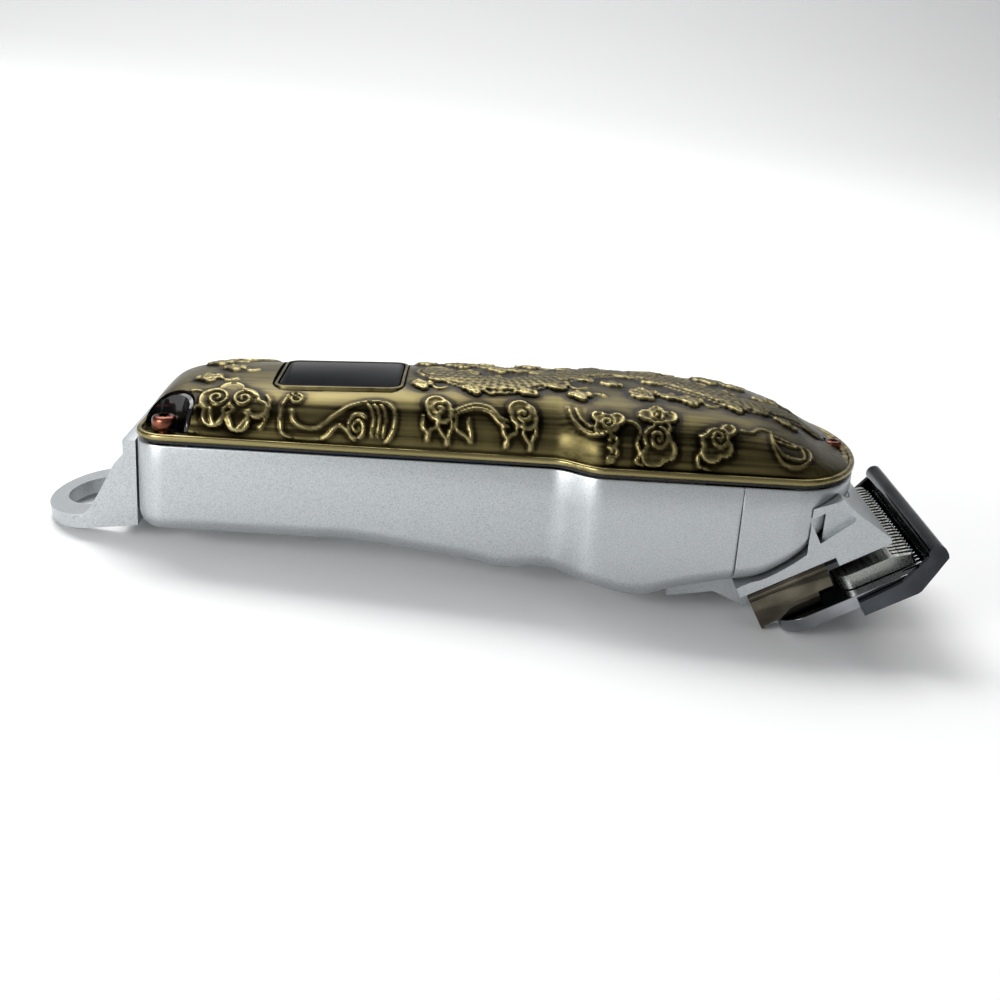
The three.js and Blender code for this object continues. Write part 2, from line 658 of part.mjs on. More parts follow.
function taperCarriage() {
  const plate = raise(roundedRectangle(-21, -7.8, -17, 17, 2), 4.3, 5.5, 4);
  const opening = box(-18.6, -10.9, -8.2, 8.2, 4, 6);
  const tab = box(-12, -8.1, 15.2, 16.4, 5, 13);
  const slot = box(-11.25, -8.75, 14, 18, 10.6, 15);
  const holes = [-12, 12].map((y) => cylinderZ(4, 6, -9.4, y, 0.95, 16));
  return cut(join(cut(plate, opening), tab), slot, ...holes);
}

function tensionSpring() {
  const path = [
    [-9.4, -12, 3.9], [-9.4, -12, 6.4], [-9.9, -12, 6.8], [-18.8, -12, 6.8], [-19.6, -11.2, 6.8],
    [-19.6, 11.2, 6.8], [-18.8, 12, 6.8], [-9.9, 12, 6.8], [-9.4, 12, 6.4], [-9.4, 12, 3.9],
  ];
  return wire(path, 0.5, 44, 6);
}

// ---------- side clips and guard ----------
// Formed sheet clip seen from the front: a rolled top edge, a bowed web and a folded foot.
function sideClip(side) {
  const thickness = 0.6;
  const across = 20.2;
  const path = [];
  for (let i = 0; i <= 8; i += 1) {
    const angle = THREE.MathUtils.degToRad(200 - 28 * i);
    path.push([0.95 * Math.cos(angle), 7.5 + 0.95 * Math.sin(angle)]);
  }
  path.push([0.6, 6.6], [1, 5], [1, 3.4], [0.5, 1.6], [0.1, 0.9], [-1.8, 0.7]);
  const outer = path.map(([y, up], i) => {
    const [ya, ua] = path[Math.max(i - 1, 0)];
    const [yb, ub] = path[Math.min(i + 1, path.length - 1)];
    const length = Math.hypot(yb - ya, ub - ua);
    return [y - (thickness * (ub - ua)) / length, up + (thickness * (yb - ya)) / length];
  });
  const section = polygon([...path, ...outer.reverse()]);
  const strip = runForward(section, -34.2, -17.8).translate([0, across, 0]);
  const lip = polygon([[-1.8, 0.6], [0.1, 0.6], [0, -0.3], [-1.4, -0.65]]);
  const bentEnd = runForward(lip, -34.2, -33.5).translate([0, across, 0]);
  const clip = cut(join(strip, bentEnd), box(-21, -17, 15, 26, -1, 3.4));
  return side > 0 ? clip : clip.mirror([0, 1, 0]);
}

function bladeGuard() {
  const bar = new THREE.Shape();
  bar.moveTo(0.5, -2.1);
  bar.lineTo(1.8, -1.3);
  bar.lineTo(4.6, 0.4);
  bar.lineTo(4.8, 1.3);
  bar.lineTo(4.7, 2.2);
  bar.absarc(2.9, 2.1, 1.8, 0, Math.PI);
  bar.lineTo(0.5, 0.4);
  const floor = polygon([[-14.6, -4.2], [-3.4, -4.2], [-2.6, -4], [2.2, -1.1], [1, -1], [-3, -3.5], [-14.6, -3.5]]);
  const rail = polygon([
    [-14.6, -4.2], [-3.4, -4.2], [-2.6, -4], [4.6, 0.4], [4.4, 2.4], [1, 2], [-2, 0.9], [-5.5, -0.7], [-14.6, -1.2],
  ]);
  const rails = [spread(rail, 23.3, 24.4), spread(rail, -24.4, -23.3)];
  return join(spread(bar, -24.4, 24.4, 8), spread(floor, -24.4, 24.4), ...rails);
}

// ---------- taper lever ----------
function taperLever() {
  const { x, z } = leverAxis();
  const tail = new THREE.Shape();
  tail.moveTo(x, z + 4);
  tail.lineTo(x - 12, z + 3.4);
  tail.lineTo(x - 27, z + 4.6);
  tail.absarc(x - 28, z + 0.6, 4, Math.PI / 2, Math.PI * 1.5);
  tail.lineTo(x - 12, z - 2.6);
  tail.lineTo(x, z - 4);
  const blade = spread(tail, 24.1, 25.9, 8);
  const hub = cylinderY(24.1, 26.4, x, z, 5, 36);
  const ridges = [0, 1, 2, 3].map((i) => box(x - 31 + i * 2, x - 30 + i * 2, 25.5, 26.8, z - 1.8, z + 3));
  return cut(join(blade, hub, ...ridges), cylinderY(20, 30, x, z, 1.9, 24));
}

// Lever axis in the clipper's own coordinates.
function leverAxis() {
  const { along, up } = leverPivot;
  return {
    x: bladeTip.x + along * Math.cos(bladeTilt) - up * Math.sin(bladeTilt),
    z: bladeTip.z + along * Math.sin(bladeTilt) + up * Math.cos(bladeTilt),
  };
}

function taperCrank() {
  const { along, up } = leverPivot;
  const shaft = cylinderY(17.2, 26.1, along, up, 1.6, 20);
  const arm = box(along - 1.3, along + 1.3, 17.2, 18.5, up, up + leverCrank + 1);
  const pin = cylinderY(14.4, 17.4, along, up + leverCrank, 0.85, 14);
  return cut(join(shaft, arm, pin), cylinderY(22.5, 30, along, up, 1.1, 16));
}

function leverScrew() {
  const { x, z } = leverAxis();
  const slot = box(x - 3, x + 3, 27.3, 29, z - 0.35, z + 0.35);
  return cut(join(cylinderY(26.7, 27.9, x, z, 2.7, 28), cylinderY(23, 27, x, z, 0.8, 12)), slot);
}

function leverWasher() {
  const { x, z } = leverAxis();
  return cut(cylinderY(23.5, 23.8, x, z, 4.2, 28), cylinderY(20, 30, x, z, 2, 20));
}

// ---------- assembly ----------
const clipper = new THREE.Group();

// The blade set lies in a group of its own, turned by the blade tilt.
const bladeSet = new THREE.Group();
bladeSet.position.set(bladeTip.x, 0, bladeTip.z);
bladeSet.rotation.y = -bladeTilt;
clipper.add(bladeSet);

function place(group, name, solid, material) {
  const mesh = new THREE.Mesh(geometryOf(solid), material);
  mesh.name = name;
  group.add(mesh);
}

place(clipper, 'lower_housing', lowerHousing(), silverPaint);
place(clipper, 'nose_housing', noseHousing(), silverPaint);
place(clipper, 'cover_gasket', coverGasket(), blackRubber);
place(clipper, 'top_cover', topCover(), brass);
place(clipper, 'pocket_liner_left', pocketLiner(1), blackGloss);
place(clipper, 'pocket_liner_right', pocketLiner(-1), blackGloss);
place(clipper, 'cover_screw_left', rearCoverScrew(1), copperScrew);
place(clipper, 'cover_screw_right', rearCoverScrew(-1), copperScrew);
place(clipper, 'cover_screw_front', lobeScrew(noseScrewX, 0, rimTopZ - 0.2, 1.85, 1.5, 1, 6.5), copperScrew);
place(clipper, 'display_bezel', displayBezel(), brass);
place(clipper, 'display_glass', displayGlass(), darkGlass);
place(clipper, 'display_module', displayModule(), boardGreen);
place(clipper, 'hanging_hook', hangingHook(), silverPaint);
place(clipper, 'hook_screw_left', hookFixing(1), steel);
place(clipper, 'hook_screw_right', hookFixing(-1), steel);
place(clipper, 'charging_socket', chargingSocket(), steel);
place(clipper, 'battery_cell', batteryCell(), batteryWrap);
place(clipper, 'battery_cradle', batteryCradle(), greyPlastic);
place(clipper, 'circuit_board', circuitBoard(), boardGreen);
place(clipper, 'motor', motorCan(), steel);
place(clipper, 'motor_cradle', motorCradle(), greyPlastic);
place(clipper, 'motor_shaft', motorShaft(), steel);
place(clipper, 'eccentric_cam', eccentricCam(), nickel);
place(clipper, 'power_button', powerButton(), brass);
place(clipper, 'button_spring', buttonSpring(), steel);
place(clipper, 'switch_board', switchBoard(), boardGreen);
place(clipper, 'blade_seat', bladeSeat(), silverPaint);
place(clipper, 'seat_screw_left', seatFixing(1), steel);
place(clipper, 'seat_screw_right', seatFixing(-1), steel);
place(clipper, 'taper_lever', taperLever(), silverPaint);
place(clipper, 'lever_screw', leverScrew(), copperScrew);
place(clipper, 'lever_washer', leverWasher(), steel);
place(clipper, 'drive_yoke', driveYoke(), blackGloss);
place(bladeSet, 'taper_crank', taperCrank(), steel);
place(bladeSet, 'taper_carriage', taperCarriage(), greyPlastic);
place(bladeSet, 'tension_spring', tensionSpring(), steel);
place(bladeSet, 'cutter_blade', cutterBlade(), bladeSteel);
place(bladeSet, 'stationary_blade', stationaryBlade(), blackChrome);
place(bladeSet, 'blade_screw_left', bladeFixing(1), steel);
place(bladeSet, 'blade_screw_right', bladeFixing(-1), steel);
place(bladeSet, 'side_clip_left', sideClip(1), nickel);
place(bladeSet, 'side_clip_right', sideClip(-1), nickel);
place(bladeSet, 'blade_guard', bladeGuard(), blackChrome);

export default clipper;
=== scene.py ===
# %% [markdown]
# # A cordless hair clipper with an embossed brass cover
# The working model, with its moving parts, comes first and is left as it is. Around it come
# the finished pieces: castings with rounded edges, a cover with raised work, and real metals.
# The file is in metres. Sizes are written in millimetres and turned into metres with `mm`.

# %% Load the working model
import json
import math
import bmesh
import bpy
import numpy as np
from mathutils import Matrix, Vector


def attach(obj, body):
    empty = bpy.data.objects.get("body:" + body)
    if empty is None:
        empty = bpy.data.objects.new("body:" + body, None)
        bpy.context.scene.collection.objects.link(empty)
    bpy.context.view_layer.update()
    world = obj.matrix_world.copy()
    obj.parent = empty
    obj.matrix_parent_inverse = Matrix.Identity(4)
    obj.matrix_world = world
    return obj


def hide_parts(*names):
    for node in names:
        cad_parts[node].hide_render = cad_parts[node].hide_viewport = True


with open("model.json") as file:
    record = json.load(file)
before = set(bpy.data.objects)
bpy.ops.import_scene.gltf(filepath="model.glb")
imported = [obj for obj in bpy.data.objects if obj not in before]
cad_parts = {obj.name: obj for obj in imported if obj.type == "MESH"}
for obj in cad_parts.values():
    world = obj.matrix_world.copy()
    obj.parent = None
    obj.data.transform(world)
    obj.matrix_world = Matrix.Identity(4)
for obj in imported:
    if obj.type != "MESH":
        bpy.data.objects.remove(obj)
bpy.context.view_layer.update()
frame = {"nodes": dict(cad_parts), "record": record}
mm = 0.001

# %% [markdown]
# ## Camera
# A long lens a little above the clipper shows its whole flank and some of the cover's top.
# The clipper lies on its hook and on the bent ends of its side clips, so it slopes down to
# the blades; here the clipper stays level, and the camera and the floor are tilted instead.

# %% Place the camera
camera_tilt = math.radians(20)
camera_turn = math.radians(1.25)
camera_roll = math.radians(3.82)
forward = Vector((
    math.sin(camera_turn) * math.cos(camera_tilt),
    math.cos(camera_turn) * math.cos(camera_tilt),
    -math.sin(camera_tilt),
))
level_right = Vector((math.cos(camera_turn), -math.sin(camera_turn), 0))
level_up = level_right.cross(forward)
right = level_right * math.cos(camera_roll) + level_up * math.sin(camera_roll)
up = level_up * math.cos(camera_roll) - level_right * math.sin(camera_roll)
camera = bpy.data.objects.new("camera", bpy.data.cameras.new("camera"))
camera.data.sensor_width = 36
camera.data.lens = 48.67
camera.data.clip_start = 0.01
camera.matrix_world = Matrix.Translation((42 * mm, -268.4 * mm, 101.83 * mm)) @ Matrix(
    (right, up, -forward)
).transposed().to_4x4()
bpy.context.scene.collection.objects.link(camera)
bpy.context.scene.camera = camera
print("camera at", [round(c, 4) for c in camera.location])

# %% [markdown]
# ## Material helpers
# Every finish is a Principled shader with a few nodes for its fine detail. Patterns read
# Object coordinates, so they stay on the piece when it moves.

# %% Define the material helpers
def start_material(name, color, roughness, metallic=0.0, coat=0.0):
    if name in bpy.data.materials:
        bpy.data.materials[name].name = "working_" + name
    material = bpy.data.materials.new(name)
    material.use_nodes = True
    nodes = material.node_tree.nodes
    shader = nodes["Principled BSDF"]
    shader.inputs["Base Color"].default_value = (*color, 1)
    shader.inputs["Roughness"].default_value = roughness
    shader.inputs["Metallic"].default_value = metallic
    shader.inputs["Coat Weight"].default_value = coat
    shader.inputs["Coat Roughness"].default_value = 0.08
    place = nodes.new("ShaderNodeTexCoord")
    return material, nodes, material.node_tree.links, shader, place.outputs["Object"]


def noise(nodes, links, place, scale, stretch=(1, 1, 1), detail=3):
    mapping = nodes.new("ShaderNodeMapping")
    mapping.inputs["Scale"].default_value = stretch
    links.new(place, mapping.inputs["Vector"])
    texture = nodes.new("ShaderNodeTexNoise")
    texture.inputs["Scale"].default_value = scale
    texture.inputs["Detail"].default_value = detail
    links.new(mapping.outputs["Vector"], texture.inputs["Vector"])
    return texture.outputs["Fac"]


def spread_values(nodes, links, value, low, high, start=0.0, end=1.0):
    ranged = nodes.new("ShaderNodeMapRange")
    ranged.inputs["From Min"].default_value = start
    ranged.inputs["From Max"].default_value = end
    ranged.inputs["To Min"].default_value = low
    ranged.inputs["To Max"].default_value = high
    links.new(value, ranged.inputs["Value"])
    return ranged.outputs["Result"]


def color_between(nodes, links, value, stops):
    ramp = nodes.new("ShaderNodeValToRGB")
    for position, color in stops[2:]:
        ramp.color_ramp.elements.new(position)
    for element, (position, color) in zip(ramp.color_ramp.elements, stops):
        element.position = position
        element.color = (*color, 1)
    links.new(value, ramp.inputs["Fac"])
    return ramp.outputs["Color"]


def bumps(nodes, links, shader, height, strength, depth):
    bump = nodes.new("ShaderNodeBump")
    bump.inputs["Strength"].default_value = strength
    bump.inputs["Distance"].default_value = depth
    links.new(height, bump.inputs["Height"])
    links.new(bump.outputs["Normal"], shader.inputs["Normal"])


# %% [markdown]
# ## Silver body paint
# The castings are sprayed with a silver paint full of fine flakes over a lightly blasted
# surface. A very fine noise makes the grain, and a cell pattern turns some flakes brighter.

# %% Make the silver paint
def silver_paint():
    material, nodes, links, shader, place = start_material(
        "silver_paint", (0.45, 0.47, 0.48), 0.4, metallic=0.85
    )
    flakes = nodes.new("ShaderNodeTexVoronoi")
    flakes.inputs["Scale"].default_value = 5200
    links.new(place, flakes.inputs["Vector"])
    shades = color_between(nodes, links, flakes.outputs["Distance"], [
        (0.0, (0.62, 0.645, 0.655)), (0.45, (0.45, 0.475, 0.487)), (1.0, (0.33, 0.35, 0.36)),
    ])
    links.new(shades, shader.inputs["Base Color"])
    grain = noise(nodes, links, place, 4200, detail=4)
    links.new(spread_values(nodes, links, grain, 0.30, 0.44), shader.inputs["Roughness"])
    bumps(nodes, links, shader, grain, 0.35, 0.00004)
    return material


silver = silver_paint()
print("made", silver.name)

# %% [markdown]
# ## Antique brass
# The cover is brushed brass, darkened and then rubbed back. The high work is bright and the
# ground is dark olive. The shape of the work is stored on the mesh as an attribute called
# `relief`, and the finish reads it, so the rubbing follows the real raised edges. The same
# attribute carries a painted shade: the cover is lighter towards the rear, darker towards the nose.

# %% Make the brass finishes
def antique_brass():
    material, nodes, links, shader, place = start_material(
        "antique_brass", (0.12, 0.1, 0.045), 0.38, metallic=1.0
    )
    relief = nodes.new("ShaderNodeAttribute")
    relief.attribute_name = "relief"
    strokes = noise(nodes, links, place, 260, stretch=(0.04, 4, 4), detail=5)
    clouds = noise(nodes, links, place, 45, detail=3)
    # The relief attribute holds the patina of the raised work plus a painted shade, lighter towards the rear
    # and darker towards the nose.
    wear_grain_and_shade = relief.outputs["Fac"]
    for pattern, share in ((strokes, 0.36), (clouds, 0.12)):
        mixed = nodes.new("ShaderNodeMath")
        mixed.operation = "MULTIPLY_ADD"
        mixed.inputs[1].default_value = share
        links.new(pattern, mixed.inputs[0])
        links.new(wear_grain_and_shade, mixed.inputs[2])
        wear_grain_and_shade = mixed.outputs["Value"]
    brass_tone_and_shade = color_between(nodes, links, wear_grain_and_shade, [
        (0.34, (0.004, 0.003, 0.0015)), (0.58, (0.022, 0.017, 0.007)),
        (0.70, (0.085, 0.070, 0.028)), (0.84, (0.15, 0.124, 0.052)), (1.0, (0.30, 0.255, 0.125)),
    ])
    links.new(brass_tone_and_shade, shader.inputs["Base Color"])
    links.new(spread_values(nodes, links, strokes, 0.26, 0.46, 0.3, 0.7), shader.inputs["Roughness"])
    bumps(nodes, links, shader, strokes, 0.3, 0.00008)
    return material


def polished_brass():
    material, nodes, links, shader, place = start_material(
        "polished_brass", (0.4, 0.34, 0.16), 0.25, metallic=1.0
    )
    strokes = noise(nodes, links, place, 300, stretch=(0.05, 3, 3), detail=4)
    shades = color_between(nodes, links, strokes, [
        (0.3, (0.14, 0.115, 0.048)), (0.6, (0.28, 0.235, 0.105)), (0.8, (0.42, 0.36, 0.18)),
    ])
    links.new(shades, shader.inputs["Base Color"])
    links.new(spread_values(nodes, links, strokes, 0.18, 0.38, 0.3, 0.7), shader.inputs["Roughness"])
    return material


brass_cover = antique_brass()
brass_rim = polished_brass()
print("made", brass_cover.name, "and", brass_rim.name)

# %% Make the dark brass of the display frame
def dark_brass():
    material, nodes, links, shader, place = start_material(
        "dark_brass", (0.14, 0.115, 0.05), 0.34, metallic=1.0
    )
    smears = noise(nodes, links, place, 220, detail=3)
    shades = color_between(nodes, links, smears, [(0.3, (0.07, 0.056, 0.022)), (0.7, (0.19, 0.158, 0.07))])
    links.new(shades, shader.inputs["Base Color"])
    return material


brass_frame = dark_brass()
print("made", brass_frame.name)

# %% [markdown]
# ## Steels, nickel and dark chrome
# Bare metals differ in colour and in how they were worked. Ground steel has fine lines in
# one direction, plated parts have a smooth skin with faint smears.

# %% Make the metal finishes
def worked_metal(name, dark, light, roughness, stretch=(1, 1, 1), scale=400, depth=0.00004):
    material, nodes, links, shader, place = start_material(name, light, roughness, metallic=1.0)
    lines = noise(nodes, links, place, scale, stretch=stretch, detail=4)
    shades = color_between(nodes, links, lines, [(0.3, dark), (0.7, light)])
    links.new(shades, shader.inputs["Base Color"])
    links.new(
        spread_values(nodes, links, lines, roughness * 0.7, roughness * 1.3, 0.3, 0.7),
        shader.inputs["Roughness"],
    )
    bumps(nodes, links, shader, lines, 0.2, depth)
    return material


bright_steel = worked_metal("bright_steel", (0.45, 0.46, 0.47), (0.68, 0.69, 0.70), 0.3)
blade_steel = worked_metal(
    "blade_steel", (0.20, 0.205, 0.19), (0.42, 0.43, 0.40), 0.32, stretch=(6, 0.3, 6), scale=500
)
nickel = worked_metal("nickel", (0.03, 0.027, 0.02), (0.17, 0.15, 0.112), 0.12, scale=120)
dark_chrome = worked_metal("dark_chrome", (0.02, 0.021, 0.024), (0.07, 0.076, 0.085), 0.12, scale=90)
blade_chrome = worked_metal("blade_chrome", (0.16, 0.17, 0.18), (0.36, 0.38, 0.40), 0.13, scale=90)
copper_plate = worked_metal("copper_plate", (0.07, 0.024, 0.015), (0.24, 0.088, 0.055), 0.25, scale=300)
print("metals:", [m.name for m in bpy.data.materials if m.use_nodes])

# %% [markdown]
# ## Plastics, glass and rubber

# %% Make the other finishes
def moulded(name, color, roughness, grain_scale=1500, depth=0.00005, coat=0.0):
    material, nodes, links, shader, place = start_material(name, color, roughness, coat=coat)
    grain = noise(nodes, links, place, grain_scale, detail=3)
    darker = tuple(c * 0.75 for c in color)
    links.new(
        color_between(nodes, links, grain, [(0.35, darker), (0.65, color)]), shader.inputs["Base Color"]
    )
    links.new(
        spread_values(nodes, links, grain, roughness * 0.8, min(roughness * 1.2, 1), 0.3, 0.7),
        shader.inputs["Roughness"],
    )
    bumps(nodes, links, shader, grain, 0.2, depth)
    return material


gloss_black = moulded("gloss_black", (0.008, 0.008, 0.009), 0.12, grain_scale=60, depth=0.00001, coat=0.15)
dark_glass = moulded("dark_glass", (0.0015, 0.002, 0.0035), 0.1, grain_scale=30, depth=0.000002)
dark_glass.node_tree.nodes["Principled BSDF"].inputs["IOR"].default_value = 1.12
black_rubber = moulded("black_rubber", (0.012, 0.012, 0.012), 0.75)
grey_plastic = moulded("grey_plastic", (0.16, 0.17, 0.175), 0.55)
board_green = moulded("board_green", (0.015, 0.09, 0.04), 0.4, grain_scale=500)
battery_wrap = moulded("battery_wrap", (0.03, 0.11, 0.26), 0.3, grain_scale=200)

# %% [markdown]
# ## Helpers for shapes
# Most pieces here are long shells whose section changes slowly. A row of points is drawn
# once, and extruded from row to row; each new row is put where the section says.

# %% Define the shape helpers
def sweep_rows(rows, patina_shade_values=None, closed=False):
    """A sheet made by extruding the first row of points through all the later rows."""
    bm = bmesh.new()
    layer = bm.verts.layers.float.new("relief") if patina_shade_values is not None else None
    row = [bm.verts.new(p) for p in rows[0]]
    edges = [bm.edges.new(pair) for pair in zip(row, row[1:])]
    if closed:
        edges.append(bm.edges.new((row[-1], row[0])))
    for number, points in enumerate(rows[1:], start=1):
        made = bmesh.ops.extrude_edge_only(bm, edges=edges)["geom"]
        edges = [g for g in made if isinstance(g, bmesh.types.BMEdge)]
        fresh = {tuple(g.co): g for g in made if isinstance(g, bmesh.types.BMVert)}
        row = [fresh[tuple(v.co)] for v in row]
        for vert, point in zip(row, points):
            vert.co = point
        # On the dome these values hold the patina and a painted shade, lighter towards the rear.
        if layer:
            for vert, height in zip(row, patina_shade_values[number]):
                vert[layer] = height
    return bm


def piece_from(bm, name, material, body, stands_for=(), sharp=35):
    mesh = bpy.data.meshes.new(name)
    bm.to_mesh(mesh)
    bm.free()
    mesh.materials.append(material)
    mesh.shade_smooth()
    mesh.set_sharp_from_angle(angle=math.radians(sharp))
    piece = bpy.data.objects.new(name, mesh)
    bpy.context.scene.collection.objects.link(piece)
    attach(piece, body)
    if stands_for:
        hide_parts(*stands_for)
    print(name, len(mesh.polygons), "faces")
    return piece


def add_bevel(piece, width, segments=3, angle=32):
    bevel = piece.modifiers.new("soft_edges", "BEVEL")
    bevel.width = width * mm
    bevel.segments = segments
    bevel.limit_method = "ANGLE"
    bevel.angle_limit = math.radians(angle)
    bevel.harden_normals = True


def softened(node, name, material, body, width, segments=3, angle=32):
    """A copy of a working part with whole faces and small rounded edges."""
    bm = bmesh.new()
    bm.from_mesh(frame["nodes"][node].data)
    bmesh.ops.remove_doubles(bm, verts=bm.verts, dist=0.002 * mm)
    bmesh.ops.dissolve_limit(
        bm, angle_limit=math.radians(1), verts=bm.verts, edges=bm.edges, delimit={"NORMAL"}
    )
    piece = piece_from(bm, name, material, body, [node])
    if width:
        add_bevel(piece, width, segments, angle)
    return piece


def cut_with(piece, cutters):
    """Takes the cutters out of a piece, then removes them."""
    for cutter in cutters:
        boolean = piece.modifiers.new("cut", "BOOLEAN")
        boolean.operation = "DIFFERENCE"
        boolean.solver = "MANIFOLD"
        boolean.object = cutter
    depsgraph = bpy.context.evaluated_depsgraph_get()
    result = bpy.data.meshes.new_from_object(piece.evaluated_get(depsgraph))
    piece.modifiers.clear()
    piece.data = result
    for cutter in cutters:
        bpy.data.objects.remove(cutter)


def cutter_from(bm, name):
    bmesh.ops.recalc_face_normals(bm, faces=bm.faces)
    mesh = bpy.data.meshes.new(name)
    bm.to_mesh(mesh)
    bm.free()
    cutter = bpy.data.objects.new(name, mesh)
    bpy.context.scene.collection.objects.link(cutter)
    return cutter


def drum(center, radius, depth, axis="Z", sides=64):
    """A plain round bar along one axis, for cutting with."""
    bm = bmesh.new()
    bmesh.ops.create_cone(
        bm, cap_ends=True, segments=sides, radius1=radius * mm, radius2=radius * mm, depth=depth * mm
    )
    turn = {"X": Matrix.Rotation(math.pi / 2, 3, "Y"), "Y": Matrix.Rotation(math.pi / 2, 3, "X")}
    if axis in turn:
        bmesh.ops.rotate(bm, verts=bm.verts, matrix=turn[axis])
    bmesh.ops.translate(bm, verts=bm.verts, vec=Vector(center) * mm)
    return bm


# %% [markdown]
# ## Outline of the body
# Seen from above the handle has straight sides, widens in an S to the head, and ends in
# half an ellipse. Half of the outline is enough; the other half is its mirror image.

# %% Describe the outline
rear_x, handle_half, head_half, corner = -24.5, 19.4, 23.75, 6.0
flare_start, flare_end, nose_start, nose_x = 57.0, 67.0, 104.0, 119.6
seam_z, rim_top_z = 18.2, 20.4
split_x = 94.2


def half_width(x):
    t = min(max((x - flare_start) / (flare_end - flare_start), 0), 1)
    return handle_half + (head_half - handle_half) * (1 - math.cos(math.pi * t)) / 2


def half_outline():
    """Points and outward directions from the rear centre, along one side, to the nose tip."""
    stations = [(rear_x, -y, -1, 0) for y in np.linspace(0, handle_half - corner, 12)]
    for angle in np.linspace(0, math.pi / 2, 12)[1:]:
        out = (-math.cos(angle), -math.sin(angle))
        stations.append((
            rear_x + corner + corner * out[0], -(handle_half - corner) + corner * out[1], *out
        ))
    for x in np.linspace(rear_x + corner, nose_start, 130)[1:]:
        slope = (half_width(x + 0.05) - half_width(x - 0.05)) / 0.1
        length = math.hypot(1, slope)
        stations.append((x, -half_width(x), -slope / length, -1 / length))
    for angle in np.linspace(math.pi / 2, 0, 36)[1:]:
        along, across = math.cos(angle), math.sin(angle)
        out = Vector((along / (nose_x - nose_start), across / head_half)).normalized()
        stations.append((
            nose_start + (nose_x - nose_start) * along, -head_half * across, out[0], -out[1]
        ))
    return stations


outline = half_outline()
print("half outline:", len(outline), "stations")

# %% [markdown]
# ## Housing shells
# The body is a casting with a flat top edge, upright walls and a rounded lower edge. Rows
# go down the wall, round the edge in a quarter circle and on to the centre line of the
# underside. The shell is then mirrored, parted at the joint line and given its wall.

# %% Describe the underside
underside = [
    (-30, 0), (-10, 0), (8, 0), (18, 0), (34, -1.9), (43, -3.1), (48, -4.2), (56, -3.5), (66, -4.8),
    (75, -6.5), (84, -4.3), (93, -2.2), (99, -1), (103.5, 1.6), (107.1, 4.4), (110.6, 7.6),
    (113.2, 10.2), (116.5, 11.6), (123, 12.6),
]


def through_points(points, x):
    """Height of a smooth line through the points at station x."""
    xs = [p[0] for p in points]
    i = min(max(int(np.searchsorted(xs, x)) - 1, 0), len(points) - 2)
    x0, z0 = points[i]
    x1, z1 = points[i + 1]

    def slope(k):
        a, b = points[max(k - 1, 0)], points[min(k + 1, len(points) - 1)]
        return (b[1] - a[1]) / (b[0] - a[0])

    t = min(max((x - x0) / (x1 - x0), 0), 1)
    step = x1 - x0
    return (
        (2 * t**3 - 3 * t**2 + 1) * z0 + (t**3 - 2 * t**2 + t) * step * slope(i)
        + (3 * t**2 - 2 * t**3) * z1 + (t**3 - t**2) * step * slope(i + 1)
    )


# %% Build the housing shell
edge_radius = 3.6


def housing_rows():
    rows = []
    for lift in (0, 0.15, 0.4):
        rows.append([
            Vector((x - ox * max(0.3 - lift, 0) * 0.7, y - oy * max(0.3 - lift, 0) * 0.7, seam_z - lift)) * mm
            for x, y, ox, oy in outline
        ])
    for share in (0.35, 0.7, 1.0):
        row = []
        for x, y, ox, oy in outline:
            low = through_points(underside, x) + edge_radius
            row.append(Vector((x, y, seam_z - 0.4 + (low - seam_z + 0.4) * share)) * mm)
        rows.append(row)
    for angle in np.linspace(0, math.pi / 2, 9)[1:]:
        inset = edge_radius * (1 - math.cos(angle))
        row = []
        for x, y, ox, oy in outline:
            px, py = x - ox * inset, min(y - oy * inset, 0)
            low = through_points(underside, px) + edge_radius * (1 - math.sin(angle))
            row.append(Vector((px, py, low)) * mm)
        rows.append(row)
    foot = rows[-1]
    for share in (0.3, 0.65, 1.0):
        rows.append([
            Vector((p.x, p.y * (1 - share), through_points(underside, p.x / mm) * mm)) for p in foot
        ])
    return rows


def housing_shell(keep_rear):
    bm = sweep_rows(housing_rows())
    bmesh.ops.mirror(bm, geom=bm.verts[:] + bm.edges[:] + bm.faces[:], axis="Y", merge_dist=0.01 * mm)
    bmesh.ops.remove_doubles(bm, verts=bm.verts, dist=0.01 * mm)
    side = -1 if keep_rear else 1
    bmesh.ops.bisect_plane(
        bm, geom=bm.verts[:] + bm.edges[:] + bm.faces[:], dist=0.001 * mm,
        plane_co=((split_x + side * 0.12) * mm, 0, 0), plane_no=(1, 0, 0),
        clear_outer=keep_rear, clear_inner=not keep_rear,
    )
    bmesh.ops.recalc_face_normals(bm, faces=bm.faces)
    lowest = min(bm.faces, key=lambda f: f.calc_center_median().z)
    if lowest.normal.z > 0:
        bmesh.ops.reverse_faces(bm, faces=bm.faces)
    return bm


def walled(piece, thickness):
    wall = piece.modifiers.new("wall", "SOLIDIFY")
    wall.thickness = thickness * mm
    wall.offset = -1
    return piece


handle_shell = walled(piece_from(
    housing_shell(True), "handle_shell", silver, "clipper_body", ["lower_housing"]
), 2.0)
cut_with(handle_shell, [
    cutter_from(drum((40, 19, 10), 3.95, 8, "Y"), "button_hole"),
    cutter_from(drum((-24, -3.4, 10), 1.8, 6, "X"), "port_end_a"),
    cutter_from(drum((-24, 3.4, 10), 1.8, 6, "X"), "port_end_b"),
])
handle_shell.data.materials.clear()
handle_shell.data.materials.append(silver)
nose_shell = walled(piece_from(
    housing_shell(False), "nose_shell", silver, "clipper_body", ["nose_housing"]
), 2.0)


# %% [markdown]
# ## Cover rim
# A polished flange runs all round under the dome. Its section is a small lip with rounded
# corners and a groove behind it. The section is swept round half the outline and mirrored.

